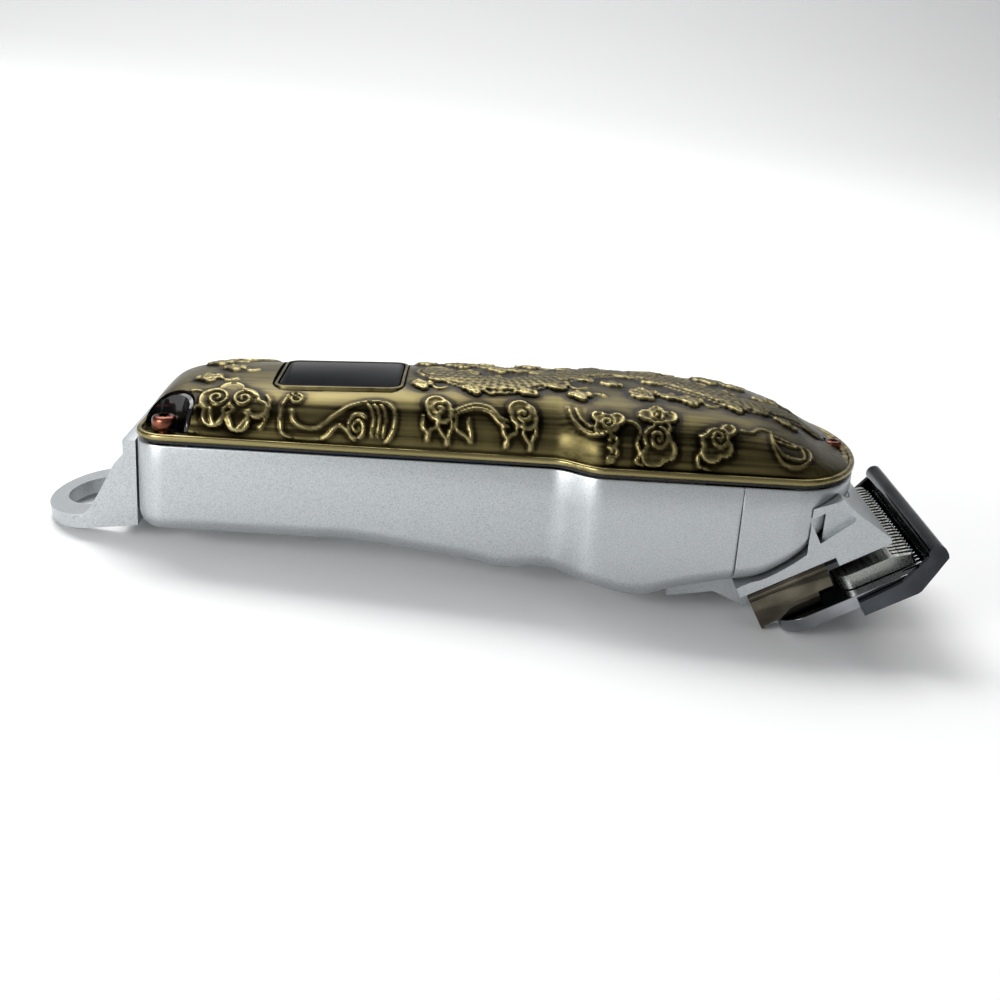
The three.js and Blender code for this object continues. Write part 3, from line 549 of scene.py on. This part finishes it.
# %% Build the rim
rim_section = [
    (3.4, 19.1), (0.2, 19.1), (-0.1, 19.2), (-0.2, 19.45), (-0.2, 19.95), (-0.08, 20.25), (0.2, 20.42),
    (0.6, 20.42), (0.88, 20.3), (1.0, 20.0), (1.15, 19.9), (3.4, 19.9), (3.4, 19.1),
]


def offset_row(inset, z):
    return [Vector((x - ox * inset, min(y - oy * inset, 0), z)) * mm for x, y, ox, oy in outline]


rim_mesh = sweep_rows([offset_row(inset, z) for inset, z in rim_section])
bmesh.ops.mirror(
    rim_mesh, geom=rim_mesh.verts[:] + rim_mesh.edges[:] + rim_mesh.faces[:], axis="Y", merge_dist=0.01 * mm
)
bmesh.ops.remove_doubles(rim_mesh, verts=rim_mesh.verts, dist=0.01 * mm)
bmesh.ops.recalc_face_normals(rim_mesh, faces=rim_mesh.faces)
cover_rim = piece_from(
    rim_mesh, "cover_rim", brass_rim, "clipper_body", ["top_cover"], sharp=50
)

# %% [markdown]
# ## Raised work on the cover
# The dome is first described as a fine net of points: stations along the clipper, and
# points at equal steps round each arched section. For every point the distance up from the
# foot and the distance across from the crown are known, so the raised work can be drawn
# on the unrolled dome. The motifs are plain ornament: clouds made of joined discs with
# spirals in them, wave lines, flame points and a winding band of scales.

# %% Lay out the net of the dome
crown = [
    (-23.4, 21), (-22.6, 23.4), (-19.5, 26.4), (-14, 28.2), (-6, 29.2), (14, 30), (46, 31.4),
    (75, 31.2), (90, 30.6), (98, 29.3), (106, 26.2), (112, 22.8), (116.4, 20.8),
]
dome_foot, dome_setback = rim_top_z - 0.35, 1.3


def crown_line(count):
    """Points along the crown at equal steps."""
    pts = np.array([crown[0], *crown, crown[-1]], float)
    fine = []
    for k in range(1, len(pts) - 2):
        a, b, c, d = pts[k - 1:k + 3]
        for t in np.linspace(0, 1, 40, endpoint=False):
            fine.append(0.5 * (
                2 * b + (c - a) * t + (2 * a - 5 * b + 4 * c - d) * t**2 + (3 * b - a - 3 * c + d) * t**3
            ))
    fine = np.array([*fine, pts[-2]])
    run = np.concatenate([[0], np.cumsum(np.hypot(*np.diff(fine, axis=0).T))])
    steps = np.linspace(0, run[-1], count)
    return np.interp(steps, run, fine[:, 0]), np.interp(steps, run, fine[:, 1])


def outline_half(x):
    from_corner = max(rear_x + corner - x, 0)
    into_nose = max((x - nose_start) / (nose_x - nose_start), 0)
    rounded = corner - math.sqrt(max(corner**2 - from_corner**2, 0))
    return (half_width(x) - rounded) * math.sqrt(max(1 - into_nose**2, 0))


def dome_net(stations, across, inset=0.0):
    """Positions, distance up from the foot and distance across from the crown, in mm."""
    angles = np.linspace(0, math.pi, 361)
    side = -np.sign(np.cos(angles)) * np.abs(np.cos(angles)) ** 0.8
    rise = np.clip(np.sin(angles), 0, 1) ** 0.8
    place, up_from_foot, from_crown = [], [], []
    for x, z in zip(*crown_line(stations)):
        half = max(outline_half(x) - dome_setback - inset, 0.4)
        height = max(z - inset - dome_foot, 0.3)
        ys, zs = half * side, dome_foot + height * rise
        run = np.concatenate([[0], np.cumsum(np.hypot(np.diff(ys), np.diff(zs)))])
        steps = np.linspace(0, run[-1], across)
        place.append(np.stack([
            np.full(across, x), np.interp(steps, run, ys), np.interp(steps, run, zs)
        ], axis=1))
        up_from_foot.append(np.minimum(steps, run[-1] - steps))
        from_crown.append(steps - run[-1] / 2)
    return np.array(place), np.array(up_from_foot), np.array(from_crown)


net, foot_run, crown_run = dome_net(430, 141)
print("dome net:", net.shape, "girth", round(float(crown_run[200].max()) * 2, 1), "mm")

# %% Define how raised work is drawn
raised = np.zeros(foot_run.shape)
net_x = net[:, :, 0]


def near(across, cx, cy, reach):
    return (np.abs(net_x - cx) < reach) & (np.abs(across - cy) < reach)


def distance_to(points, px, py):
    best = np.full(px.shape, 1e9)
    for (ax, ay), (bx, by) in zip(points, points[1:]):
        dx, dy = bx - ax, by - ay
        t = np.clip(((px - ax) * dx + (py - ay) * dy) / (dx * dx + dy * dy + 1e-9), 0, 1)
        best = np.minimum(best, np.hypot(px - ax - t * dx, py - ay - t * dy))
    return best


def smooth(points, steps=8):
    """A smooth line through given points."""
    pts = np.array([points[0], *points, points[-1]], float)
    line = []
    for k in range(1, len(pts) - 2):
        a, b, c, d = pts[k - 1:k + 3]
        for t in np.linspace(0, 1, steps, endpoint=False):
            line.append(0.5 * (
                2 * b + (c - a) * t + (2 * a - 5 * b + 4 * c - d) * t**2 + (3 * b - a - 3 * c + d) * t**3
            ))
    return [tuple(p) for p in [*line, pts[-2]]]


def draw_line(across, points, width=0.36, height=0.4):
    pts = np.array(points)
    middle, reach = (pts.min(0) + pts.max(0)) / 2, float((pts.max(0) - pts.min(0)).max()) / 2 + 1
    area = near(across, *middle, reach)
    gap = distance_to(points, net_x[area], across[area]) / width
    raised[area] = np.maximum(raised[area], base[area] + height * np.clip(1 - gap**2, 0, 1) ** 0.7)


def draw_cloud(across, discs, height=0.32):
    """A raised patch made of joined discs, with a bead along its scalloped edge."""
    cx, cy = np.mean([d[0] for d in discs]), np.mean([d[1] for d in discs])
    area = near(across, cx, cy, 14)
    edge = np.full(int(area.sum()), 1e9)
    for x, y, radius in discs:
        edge = np.minimum(edge, np.hypot(net_x[area] - x, across[area] - y) - radius)
    body = height * np.clip(-edge / 0.5, 0, 1)
    bead = 0.3 * np.clip(1 - ((edge + 0.45) / 0.36) ** 2, 0, 1)
    base[area] = np.maximum(base[area], body)
    raised[area] = np.maximum(raised[area], np.maximum(body, height + bead * (bead > 0) - (bead <= 0) * 9))


def spiral(cx, cy, radius, turns=1.6, start=0.0, hand=1, squeeze=1.0):
    count = int(18 * turns)
    points = []
    for k in range(count + 1):
        angle = start + hand * 2 * math.pi * turns * k / count
        shrink = 1 - 0.86 * k / count
        points.append((
            cx + radius * shrink * math.cos(angle), cy + radius * squeeze * shrink * math.sin(angle)
        ))
    return points


base = np.zeros(foot_run.shape)


def draw_curl(across, cx, cy, radius, start=0.0, hand=1, squeeze=1.0, turns=1.6):
    draw_line(across, spiral(cx, cy, radius, turns, start, hand, squeeze), 0.35, 0.4)


# %% [markdown]
# Along the flank the work follows a rhythm: a curl behind the screw, a double cloud, a
# wave under the display, flame-tailed clouds, and smaller clouds and a drop on the head.

# %% Draw the flank
flank = foot_run
draw_line(flank, smooth([
    (-12.3, 10.6), (-13.9, 11), (-15, 10), (-15.3, 8), (-14.5, 6.2), (-13, 5.7), (-11.9, 6.9),
]))
draw_line(flank, smooth([(-16.4, 8.6), (-16.8, 6), (-16.4, 3), (-15, 1.3), (-12, 0.9)]))
draw_cloud(flank, [
    (-9, 8, 3.5), (-3.6, 8.2, 3.4), (-6.3, 11, 2.8),
    (-9, 4.4, 2.5), (-4.2, 3.8, 2.6), (-0.6, 6.2, 2.2),
])
draw_curl(flank, -8.8, 8.3, 2.5, start=2.6, hand=-1)
draw_curl(flank, -3.6, 8.4, 2.3, start=0.4, hand=1)
draw_line(flank, smooth([(-9.8, 5.6), (-8.6, 2.6), (-6.4, 4.9), (-4.6, 1.9), (-2, 5)]))
draw_line(flank, smooth([(0.6, 10), (1.6, 8), (1.5, 5), (0.2, 2.4)]), 0.36, 0.3)
draw_curl(flank, 6.4, 9.4, 1.8, start=3.1, hand=-1)
draw_line(flank, smooth([(4.7, 9.4), (4, 7), (4.1, 4), (5.3, 1.2), (12, 0.9), (15.5, 4), (18.4, 1.0)]))
draw_line(flank, smooth([
    (6, 6.3), (6.6, 4.4), (8.4, 3.2), (11, 3.2), (14, 5.4), (17.4, 8.2), (20.6, 9.4), (24.2, 9.3),
    (26, 7), (26, 3.6), (24.6, 0.9),
]))
draw_curl(flank, 19, 3.7, 2.1, start=0.8, hand=1, squeeze=1.35, turns=1.9)
for shift in (0, 1.3, 2.6):
    draw_line(flank, smooth([
        (20.6 + shift, 8.8), (22 + shift * 0.9, 6), (21.9 + shift * 0.8, 2.2),
    ]), 0.34, 0.36)
for cx, cy, radius, hand in ((34.6, 8.4, 2.7, 1), (51, 8.2, 2.8, -1)):
    draw_cloud(flank, [
        (cx, cy, radius), (cx - 0.8, cy + 1.2, radius - 0.4), (cx + 0.8, cy - 1, radius - 0.5),
    ])
    draw_curl(flank, cx, cy, radius * 0.6, start=1, hand=hand, turns=1.2)
for shift in (0, 1.0):
    draw_line(flank, smooth([
        (37, 6.8 + shift), (39.5, 8.4 + shift), (42, 9.2 + shift), (44.6, 8.4 + shift), (46.4, 6.4 + shift),
        (48.2, 5.6 + shift),
    ]), 0.38, 0.4)
for cx, lean, reach in (
    (33, -0.5, 4.8), (36, 0.5, 5.6), (39.4, 1.6, 4.6), (48.6, -0.9, 5.4), (52.4, 0.3, 5.8),
):
    draw_line(flank, smooth([
        (cx - 1.3, 6.8), (cx - 1.2, 4.6), (cx + lean * 0.4, 7 - reach * 0.8), (cx + lean, 6.8 - reach),
        (cx + lean * 0.7 + 0.5, 7 - reach * 0.6), (cx + 1.3, 4.8), (cx + 1.1, 6.6),
    ]))
draw_line(flank, smooth([(59.8, 11), (60.6, 8.4), (62.8, 6.6), (65.2, 6.4)]))
draw_line(flank, smooth([(61.2, 11.4), (62, 9.2), (63.6, 7.9), (65, 7.8)]), 0.34, 0.34)
draw_cloud(flank, [(67.2, 9, 2.5), (65.6, 10.4, 1.7), (69, 10.2, 1.8), (66, 7.6, 1.6)])
draw_curl(flank, 67.2, 9.2, 1.8, start=2, hand=-1)
for cx, cy, radius in ((68, 5.6, 1.5), (68.4, 3.4, 1.2), (67.8, 1.8, 0.9)):
    draw_curl(flank, cx, cy, radius, start=4.4, hand=1, turns=0.9)
draw_cloud(flank, [(77, 11.6, 2.4), (74.8, 12, 1.8), (79.3, 11.8, 1.9), (76.8, 13.4, 1.8)])
draw_curl(flank, 77.2, 11.8, 1.7, start=0.5, hand=1)
draw_cloud(flank, [(76.8, 6.4, 2.9), (76.2, 3, 2.6), (77.8, 8.6, 2), (78.4, 4.2, 2.4)], 0.26)
draw_curl(flank, 77, 6.4, 2, start=1.4, hand=-1, squeeze=1.2)
draw_line(flank, smooth([
    (70.6, 10), (72.4, 9.6), (73.6, 7.6), (73, 5.4), (73.6, 3.2), (73, 1.6), (74.4, 0.8),
]))
draw_cloud(flank, [
    (88.6, 7.4, 2.5), (90.8, 9.4, 1.7), (87.4, 4.4, 2.3), (89.6, 5.2, 2), (86.8, 6.6, 1.8),
], 0.26)
draw_curl(flank, 88.8, 7.2, 1.9, start=1.1, hand=-1, squeeze=1.25)
draw_line(flank, smooth([(85.2, 7.6), (85.6, 5.2), (84.8, 3.2), (85.2, 1.4), (87, 0.8)]))
draw_line(flank, smooth([(93.4, 9.6), (95.4, 9.4), (97.4, 11), (99.6, 10.4)]), 0.34, 0.32)
for shrink in (0, 1.4):
    draw_line(flank, smooth([
        (99.4, 9.6 - shrink), (99.6 + shrink * 0.6, 6), (101.4 + shrink * 0.3, 3 + shrink),
        (104.6, 2.4 + shrink), (107.2 - shrink, 4.6), (106.6 - shrink, 7.2), (103.4, 8 - shrink * 0.7),
        (99.4, 9.6 - shrink),
    ]), 0.34, 0.34)

# %% [markdown]
# A band of scales winds along the top between the display and the nose. Its scales are a
# saw-tooth along the band with curved fronts, and a row of beads follows each edge.

# %% Draw the top
top = crown_run
band_x = np.linspace(33, 110, 120)
band_fade = np.clip((114 - band_x) / 20, 0.35, 1)
band_y = 7.0 * np.sin((band_x - 33) / 77 * 2 * math.pi * 1.5 + math.pi) * band_fade
band_run = np.concatenate([[0], np.cumsum(np.hypot(np.diff(band_x), np.diff(band_y)))])


def draw_band(half=3.1):
    area = (net_x > 29) & (net_x < 114) & (np.abs(top) < 13)
    px, py = net_x[area], top[area]
    best, along, beside = np.full(px.shape, 1e9), np.zeros(px.shape), np.zeros(px.shape)
    for k in range(len(band_x) - 1):
        dx, dy = band_x[k + 1] - band_x[k], band_y[k + 1] - band_y[k]
        length = math.hypot(dx, dy)
        t = np.clip(((px - band_x[k]) * dx + (py - band_y[k]) * dy) / length**2, 0, 1)
        gx, gy = px - band_x[k] - t * dx, py - band_y[k] - t * dy
        gap = np.hypot(gx, gy)
        closer = gap < best
        best = np.where(closer, gap, best)
        along = np.where(closer, band_run[k] + t * length, along)
        beside = np.where(closer, (dx * gy - dy * gx) / length, beside)
    row = np.floor(along / 1.5)
    cell = np.mod(beside / 1.5 + 0.5 * np.mod(row, 2), 1) - 0.5
    scale = np.mod(along / 1.5 + 1.6 * cell**2, 1)
    body = 0.5 * np.clip((half - best) / 0.5, 0, 1) * (1 - 0.25 * (best / half) ** 2)
    bead_rows = np.abs(np.cos(along * math.pi / 1.1))
    beads = 0.34 * np.clip(1 - ((best - half - 0.35) / 0.5) ** 2, 0, 1) * bead_rows
    field = body + 0.26 * scale * (best < half - 0.3) + beads + 0.12 * (beads > 0)
    raised[area] = np.maximum(raised[area], field)
    base[area] = np.maximum(base[area], body)


for cx, cy, size_of, hand in (
    (38, 6.5, 1.0, 1), (46, 2.5, 0.8, -1), (57, -5.6, 0.9, 1), (66, 7.5, 1.0, -1), (75, -7.4, 0.9, 1),
    (83, 2.8, 0.8, -1), (90, 7.6, 0.9, 1), (99, -5, 0.75, -1), (104, 3.6, 0.8, 1), (-12, -6, 0.8, 1),
    (-12, 6, 0.8, -1), (-8, 0, 0.7, 1), (52, 8.6, 0.8, 1), (30.5, 8, 0.7, -1), (30.5, -8, 0.7, 1),
    (41, -9.6, 0.7, 1), (62, -10.4, 0.7, -1), (84, -9.2, 0.8, 1), (93, -9.8, 0.7, -1), (78, 10.6, 0.7, -1),
):
    draw_cloud(top, [
        (cx, cy, 2.2 * size_of), (cx - 2.2 * size_of, cy + 0.6, 1.5 * size_of),
        (cx + 2.3 * size_of, cy + 0.4, 1.6 * size_of),
        (cx - 0.5, cy + 1.9 * size_of, 1.5 * size_of), (cx + 0.6, cy - 1.6 * size_of, 1.5 * size_of),
    ])
    draw_curl(top, cx, cy, 1.6 * size_of, start=cx, hand=hand, turns=1.4)
    draw_line(top, smooth([
        (cx + 3 * size_of, cy), (cx + 5 * size_of, cy - 1.4 * hand), (cx + 7.4 * size_of, cy - 0.6 * hand),
    ]))
for k in range(27):
    cx, cy = 34 + 2.9 * k, (5.2 + 4.6 * math.sin(2.4 * k)) * (1 if k % 2 else -1)
    draw_cloud(top, [
        (cx, cy, 1.5), (cx - 1.5, cy + 0.5, 1.1), (cx + 1.4, cy - 0.4, 1.2), (cx + 0.2, cy + 1.3, 1.0),
    ], 0.28)
    draw_curl(top, cx, cy, 1.1, start=1.7 * k, hand=1 if k % 3 else -1, turns=1.3)
draw_band()
fade = np.clip((foot_run - 0.5) / 0.6, 0, 1)
keep_flat = np.clip((np.maximum(np.abs(net_x - 14.2) - 13.9, np.abs(crown_run) - 11.6)) / 0.8, 0, 1)
raised *= fade * keep_flat


def blurred(field, reach):
    """Each value becomes the mean of its neighbours in a square."""
    padded = np.pad(field, reach, mode="edge")
    total = np.zeros(field.shape)
    for i in range(2 * reach + 1):
        for j in range(2 * reach + 1):
            total += padded[i:i + field.shape[0], j:j + field.shape[1]]
    return total / (2 * reach + 1) ** 2


crease = 1.0 * (raised - blurred(raised, 3)) + 0.55 * (blurred(raised, 1) - blurred(raised, 7))
rubbed_patina_and_painted_shade = 0.49 + np.where(crease > 0, 0.62 * crease, 1.7 * crease)
# Painted shade: the whole cover is made lighter towards the rear and darker towards the nose, as if lit from
# the rear.
rubbed_patina_and_painted_shade = np.clip(rubbed_patina_and_painted_shade + 0.035 * np.clip((55 - net_x) / 40, -1, 1), 0, 1)
print("raised work up to", round(float(raised.max()), 2), "mm")

# %% [markdown]
# ## Dome
# The net is pushed out along its own normals by the raised work, and a patina map with a painted
# shade, lighter towards the rear, is kept as the attribute that the brass reads. The dome is closed
# underneath, and then the hollow, the screw pockets, the display opening and the front screw seat are cut
# from it.

# %% Build the dome
across_step = np.gradient(net, axis=1)
along_step = np.gradient(net, axis=0)
normals = np.cross(along_step, across_step)
normals /= np.linalg.norm(normals, axis=2, keepdims=True) + 1e-12
if normals[200, 70, 2] < 0:
    normals = -normals
carved = (net + normals * raised[:, :, None]) * mm


def closed_dome(points, patina_shade_values=None):
    flat_first, flat_last = points[0].copy(), points[-1].copy()
    flat_first[:, 2] = flat_last[:, 2] = dome_foot * mm
    rows = [flat_first, *points, flat_last]
    values = None if patina_shade_values is None else [patina_shade_values[0] * 0, *patina_shade_values, patina_shade_values[-1] * 0]
    bm = sweep_rows([[Vector(p) for p in row] for row in rows], values)
    bmesh.ops.remove_doubles(bm, verts=bm.verts, dist=0.003 * mm)
    bmesh.ops.holes_fill(bm, edges=[e for e in bm.edges if e.is_boundary], sides=0)
    bmesh.ops.recalc_face_normals(bm, faces=bm.faces)
    return bm


cover_dome = piece_from(
    closed_dome(carved, rubbed_patina_and_painted_shade), "cover_dome", brass_cover, "clipper_body",
    ["top_cover"], sharp=70,
)

# %% Cut the dome
rear_screws = [(-18.9, 15.4), (-18.9, -15.4)]
nose_screw = (116.2, 0)


def rounded_plate(x0, x1, y0, y1, radius, z0, z1):
    """An upright plate with rounded corners, for panes, frames and cuts."""
    bm = bmesh.new()
    corners = [(x0, y0), (x1, y0), (x1, y1), (x0, y1)]
    face = bm.faces.new([bm.verts.new(Vector((x, y, z0)) * mm) for x, y in corners])
    grown = bmesh.ops.extrude_face_region(bm, geom=[face])["geom"]
    bmesh.ops.translate(
        bm, verts=[g for g in grown if isinstance(g, bmesh.types.BMVert)], vec=(0, 0, (z1 - z0) * mm)
    )
    bm.edges.ensure_lookup_table()
    uprights = [e for e in bm.edges if abs(e.verts[0].co.z - e.verts[1].co.z) > 0.1 * mm]
    bmesh.ops.bevel(
        bm, geom=uprights, offset=radius * mm, offset_type="OFFSET", segments=8, profile=0.5,
        affect="EDGES", material=-1,
    )
    bmesh.ops.recalc_face_normals(bm, faces=bm.faces)
    return bm


hollow_net, _, _ = dome_net(70, 41, inset=1.6)
hollow_net[:, :, 2] = np.where(hollow_net[:, :, 2] <= dome_foot + 0.01, dome_foot - 2, hollow_net[:, :, 2])
hollow_net[:, :, 0] = np.clip(hollow_net[:, :, 0], -22, 111)
cutters = [
    cutter_from(rounded_plate(1.0, 27.4, -10.85, 10.85, 3.2, 24, 40), "display_opening"),
    cutter_from(drum((*nose_screw, 25), 2.5, 10), "nose_seat"),
]
for number, (x, y) in enumerate(rear_screws):
    cutters.append(cutter_from(drum((x, y, 30), 5.9, 22), f"pocket_{number}"))
cutters.append(cutter_from(closed_dome(hollow_net * mm), "hollow"))
cut_with(cover_dome, cutters)
print("dome after cutting:", len(cover_dome.data.polygons), "faces",
      "relief kept" if "relief" in cover_dome.data.attributes else "relief lost")

# %% [markdown]
# ## Screw pockets and screws
# The two rear screws stand in round pockets with glossy dark walls. Each screw has a low
# round head with a six-lobe socket: two rings of points, one round and one lobed, are
# bridged to make the top of the head, and the lobed ring is pushed down for the socket.

# %% Build the pockets and screws
for side, node in (("left", "pocket_liner_left"), ("right", "pocket_liner_right")):
    softened(node, "pocket_wall_" + side, gloss_black, "clipper_body", 0)


def ring(bm, radius_at, z, center, count=48):
    verts = []
    for k in range(count):
        angle = 2 * math.pi * k / count
        radius = radius_at(angle)
        verts.append(bm.verts.new(Vector((
            center[0] + radius * math.cos(angle), center[1] + radius * math.sin(angle), z
        )) * mm))
    return [bm.edges.new((a, b)) for a, b in zip(verts, verts[1:] + verts[:1])]


def round_head_screw(name, node, center, foot_z, head, height, shank, length):
    bm = bmesh.new()
    lobes = lambda angle: head * (0.44 + 0.085 * math.cos(6 * angle))
    levels = [
        (lambda a: 0.05, foot_z - length), (lambda a: shank, foot_z - length + 0.2),
        (lambda a: shank, foot_z),
        (lambda a: head * 0.96, foot_z), (lambda a: head, foot_z + height * 0.1),
        (lambda a: head, foot_z + height * 0.66), (lambda a: head * 0.93, foot_z + height * 0.86),
        (lambda a: head * 0.8, foot_z + height * 0.97), (lambda a: head * 0.66, foot_z + height),
        (lobes, foot_z + height), (lambda a: lobes(a) * 0.96, foot_z + height * 0.93),
        (lambda a: lobes(a) * 0.94, foot_z + height * 0.4), (lambda a: 0.05, foot_z + height * 0.32),
    ]
    before = None
    for radius_at, z in levels:
        edges = ring(bm, radius_at, z, center)
        if before:
            bmesh.ops.bridge_loops(bm, edges=before + edges)
        before = edges
    bmesh.ops.holes_fill(bm, edges=[e for e in bm.edges if e.is_boundary], sides=0)
    bmesh.ops.recalc_face_normals(bm, faces=bm.faces)
    return piece_from(bm, name, copper_plate, "clipper_body", [node], sharp=40)


for side, (x, y) in zip(("left", "right"), rear_screws):
    round_head_screw(
        "rear_screw_" + side, "cover_screw_" + side, (x, y), rim_top_z + 0.3, 2.4, 2.5, 1.2, 13
    )
round_head_screw("nose_screw", "cover_screw_front", nose_screw, rim_top_z - 0.2, 1.85, 1.5, 1.0, 6.5)

# %% [markdown]
# ## Display
# A dark pane with rounded corners lies in a thin brass frame. Both are cut to the slope of
# the cover: the upper points of a rounded plate are lowered to a sloping plane.

# %% Build the display
def sloping_top(x):
    return 29.9 - (26.4 - x) / 24.4


def sloped_plate(x0, x1, y0, y1, radius, depth, lift, soften):
    bm = rounded_plate(x0, x1, y0, y1, radius, 20, 25)
    for vert in bm.verts:
        top_z = sloping_top(vert.co.x / mm) + lift
        vert.co.z = (top_z if vert.co.z > 24 * mm else top_z - depth) * mm
    rim_edges = [
        e for e in bm.edges
        if all(abs(v.co.z / mm - sloping_top(v.co.x / mm) - lift) < 0.01 for v in e.verts)
    ]
    bmesh.ops.bevel(
        bm, geom=rim_edges, offset=soften * mm, offset_type="OFFSET", segments=4, profile=0.5,
        affect="EDGES", material=-1,
    )
    return bm


piece_from(
    sloped_plate(2.2, 26.2, -9.65, 9.65, 2.1, 2.9, 0.12, 0.35), "display_pane", dark_glass,
    "clipper_body", ["display_glass"],
)
bezel = piece_from(
    sloped_plate(1.3, 27.1, -10.55, 10.55, 2.9, 3.4, 0.16, 0.25), "display_frame", brass_frame,
    "clipper_body", ["display_bezel"],
)
cut_with(bezel, [cutter_from(rounded_plate(1.95, 26.45, -9.9, 9.9, 2.3, 15, 40), "frame_opening")])

# %% [markdown]
# ## Castings and blades
# The remaining outer parts keep the shapes of the working model. A clean copy of each gets
# small rounded edges, as a casting or a stamped part has, and its own metal.

# %% Soften the outer parts
softened("hanging_hook", "hook_casting", silver, "clipper_body", 0.7, 4)
softened("blade_seat", "seat_casting", silver, "clipper_body", 0.35)
softened("taper_lever", "lever_casting", silver, "lever", 0.4)
softened("power_button", "button_cap", brass_rim, "button", 0.35)
softened("lever_screw", "lever_screw_head", copper_plate, "lever", 0.15)
softened("blade_guard", "guard_casting", dark_chrome, "guard", 0.3)
softened("stationary_blade", "fixed_blade", blade_chrome, "clipper_body", 0.12, 2)
softened("cutter_blade", "moving_blade", blade_steel, "cutter", 0.08, 2)
softened("side_clip_left", "clip_left", nickel, "clipper_body", 0.12, 2)
softened("side_clip_right", "clip_right", nickel, "clipper_body", 0.12, 2)

# %% [markdown]
# ## Finishes of the parts that stay as they are

# %% Give every working part its finish
finishes = {
    "bright_steel": bright_steel, "gloss_black": gloss_black, "board_green": board_green,
    "battery_wrap": battery_wrap, "grey_plastic": grey_plastic, "blade_steel": blade_steel,
    "nickel": nickel, "black_chrome": dark_chrome, "silver_paint": silver, "antique_brass": brass_rim,
    "dark_glass": dark_glass, "copper_brown": copper_plate, "black_rubber": black_rubber,
}
for part in frame["record"]["subparts"]:
    mesh = frame["nodes"][part["node"]].data
    mesh.materials.clear()
    mesh.materials.append(finishes[part["material_slot"]])

# %% [markdown]
# ## Floor and light
# The floor touches the hook and the bent ends of the side clips, so it slopes a little in
# the clipper's frame. A soft light at the front left shades the castings, one above lights
# the cover, and one behind keeps the wall pale. The world is dim, and brighter at the front.

# %% Lay the floor and hang the lights
clip_end_x, clip_end_z, hook_x, hook_z = 102.2, -13.25, -45.8, -3.05
floor_slope = (clip_end_z - hook_z) / (clip_end_x - hook_x)
floor_side = [(y, 0.0) for y in np.linspace(-3, 1.2, 8)]
floor_side += [
    (1.2 + 1.5 * math.sin(a), 1.5 - 1.5 * math.cos(a)) for a in np.linspace(0, math.pi / 2, 13)[1:]
]
floor_side.append((2.7, 4.0))


def floor_point(x, y, rise):
    return Vector((x, y, rise + hook_z * mm + floor_slope * (x - hook_x * mm)))


floor_mesh = sweep_rows([[floor_point(x, y, rise) for y, rise in floor_side] for x in np.linspace(-4, 4, 9)])
bmesh.ops.recalc_face_normals(floor_mesh, faces=floor_mesh.faces)
floor_data = bpy.data.meshes.new("floor")
floor_mesh.to_mesh(floor_data)
floor_mesh.free()
floor_data.shade_smooth()
floor = bpy.data.objects.new("floor", floor_data)
bpy.context.scene.collection.objects.link(floor)
floor_finish, *_ = start_material("floor_finish", (0.93, 0.93, 0.93), 0.7)
floor_data.materials.append(floor_finish)

world = bpy.data.worlds.new("studio")
world.use_nodes = True
sky, sky_links = world.node_tree.nodes, world.node_tree.links
sky["Background"].inputs["Color"].default_value = (0.97, 0.98, 1.0, 1)
facing = sky.new("ShaderNodeTexCoord")
parts_of = sky.new("ShaderNodeSeparateXYZ")
sky_links.new(facing.outputs["Generated"], parts_of.inputs["Vector"])
sky_links.new(
    spread_values(sky, sky_links, parts_of.outputs["Y"], 0.4, 0.2, -0.85, -0.1),
    sky["Background"].inputs["Strength"],
)
bpy.context.scene.world = world


def soft_light(name, place, aim, width, height, power):
    light = bpy.data.lights.new(name, "AREA")
    light.shape = "RECTANGLE"
    light.size, light.size_y, light.energy = width, height, power
    lamp = bpy.data.objects.new(name, light)
    direction = Vector(aim) - Vector(place)
    lamp.matrix_world = Matrix.Translation(place) @ direction.to_track_quat("-Z", "Y").to_matrix().to_4x4()
    bpy.context.scene.collection.objects.link(lamp)


soft_light("front_light", (-0.26, -0.34, 0.16), (-0.03, 0, 0.0), 0.22, 0.16, 1.5)
soft_light("back_light", (0.0, 0.9, 1.0), (0.0, 0.9, 0.0), 1.6, 1.2, 14)
soft_light("top_light", (-0.15, 0.3, 0.7), (0.04, -0.05, 0.0), 0.5, 0.3, 3)
bpy.context.scene.view_settings.view_transform = "Standard"
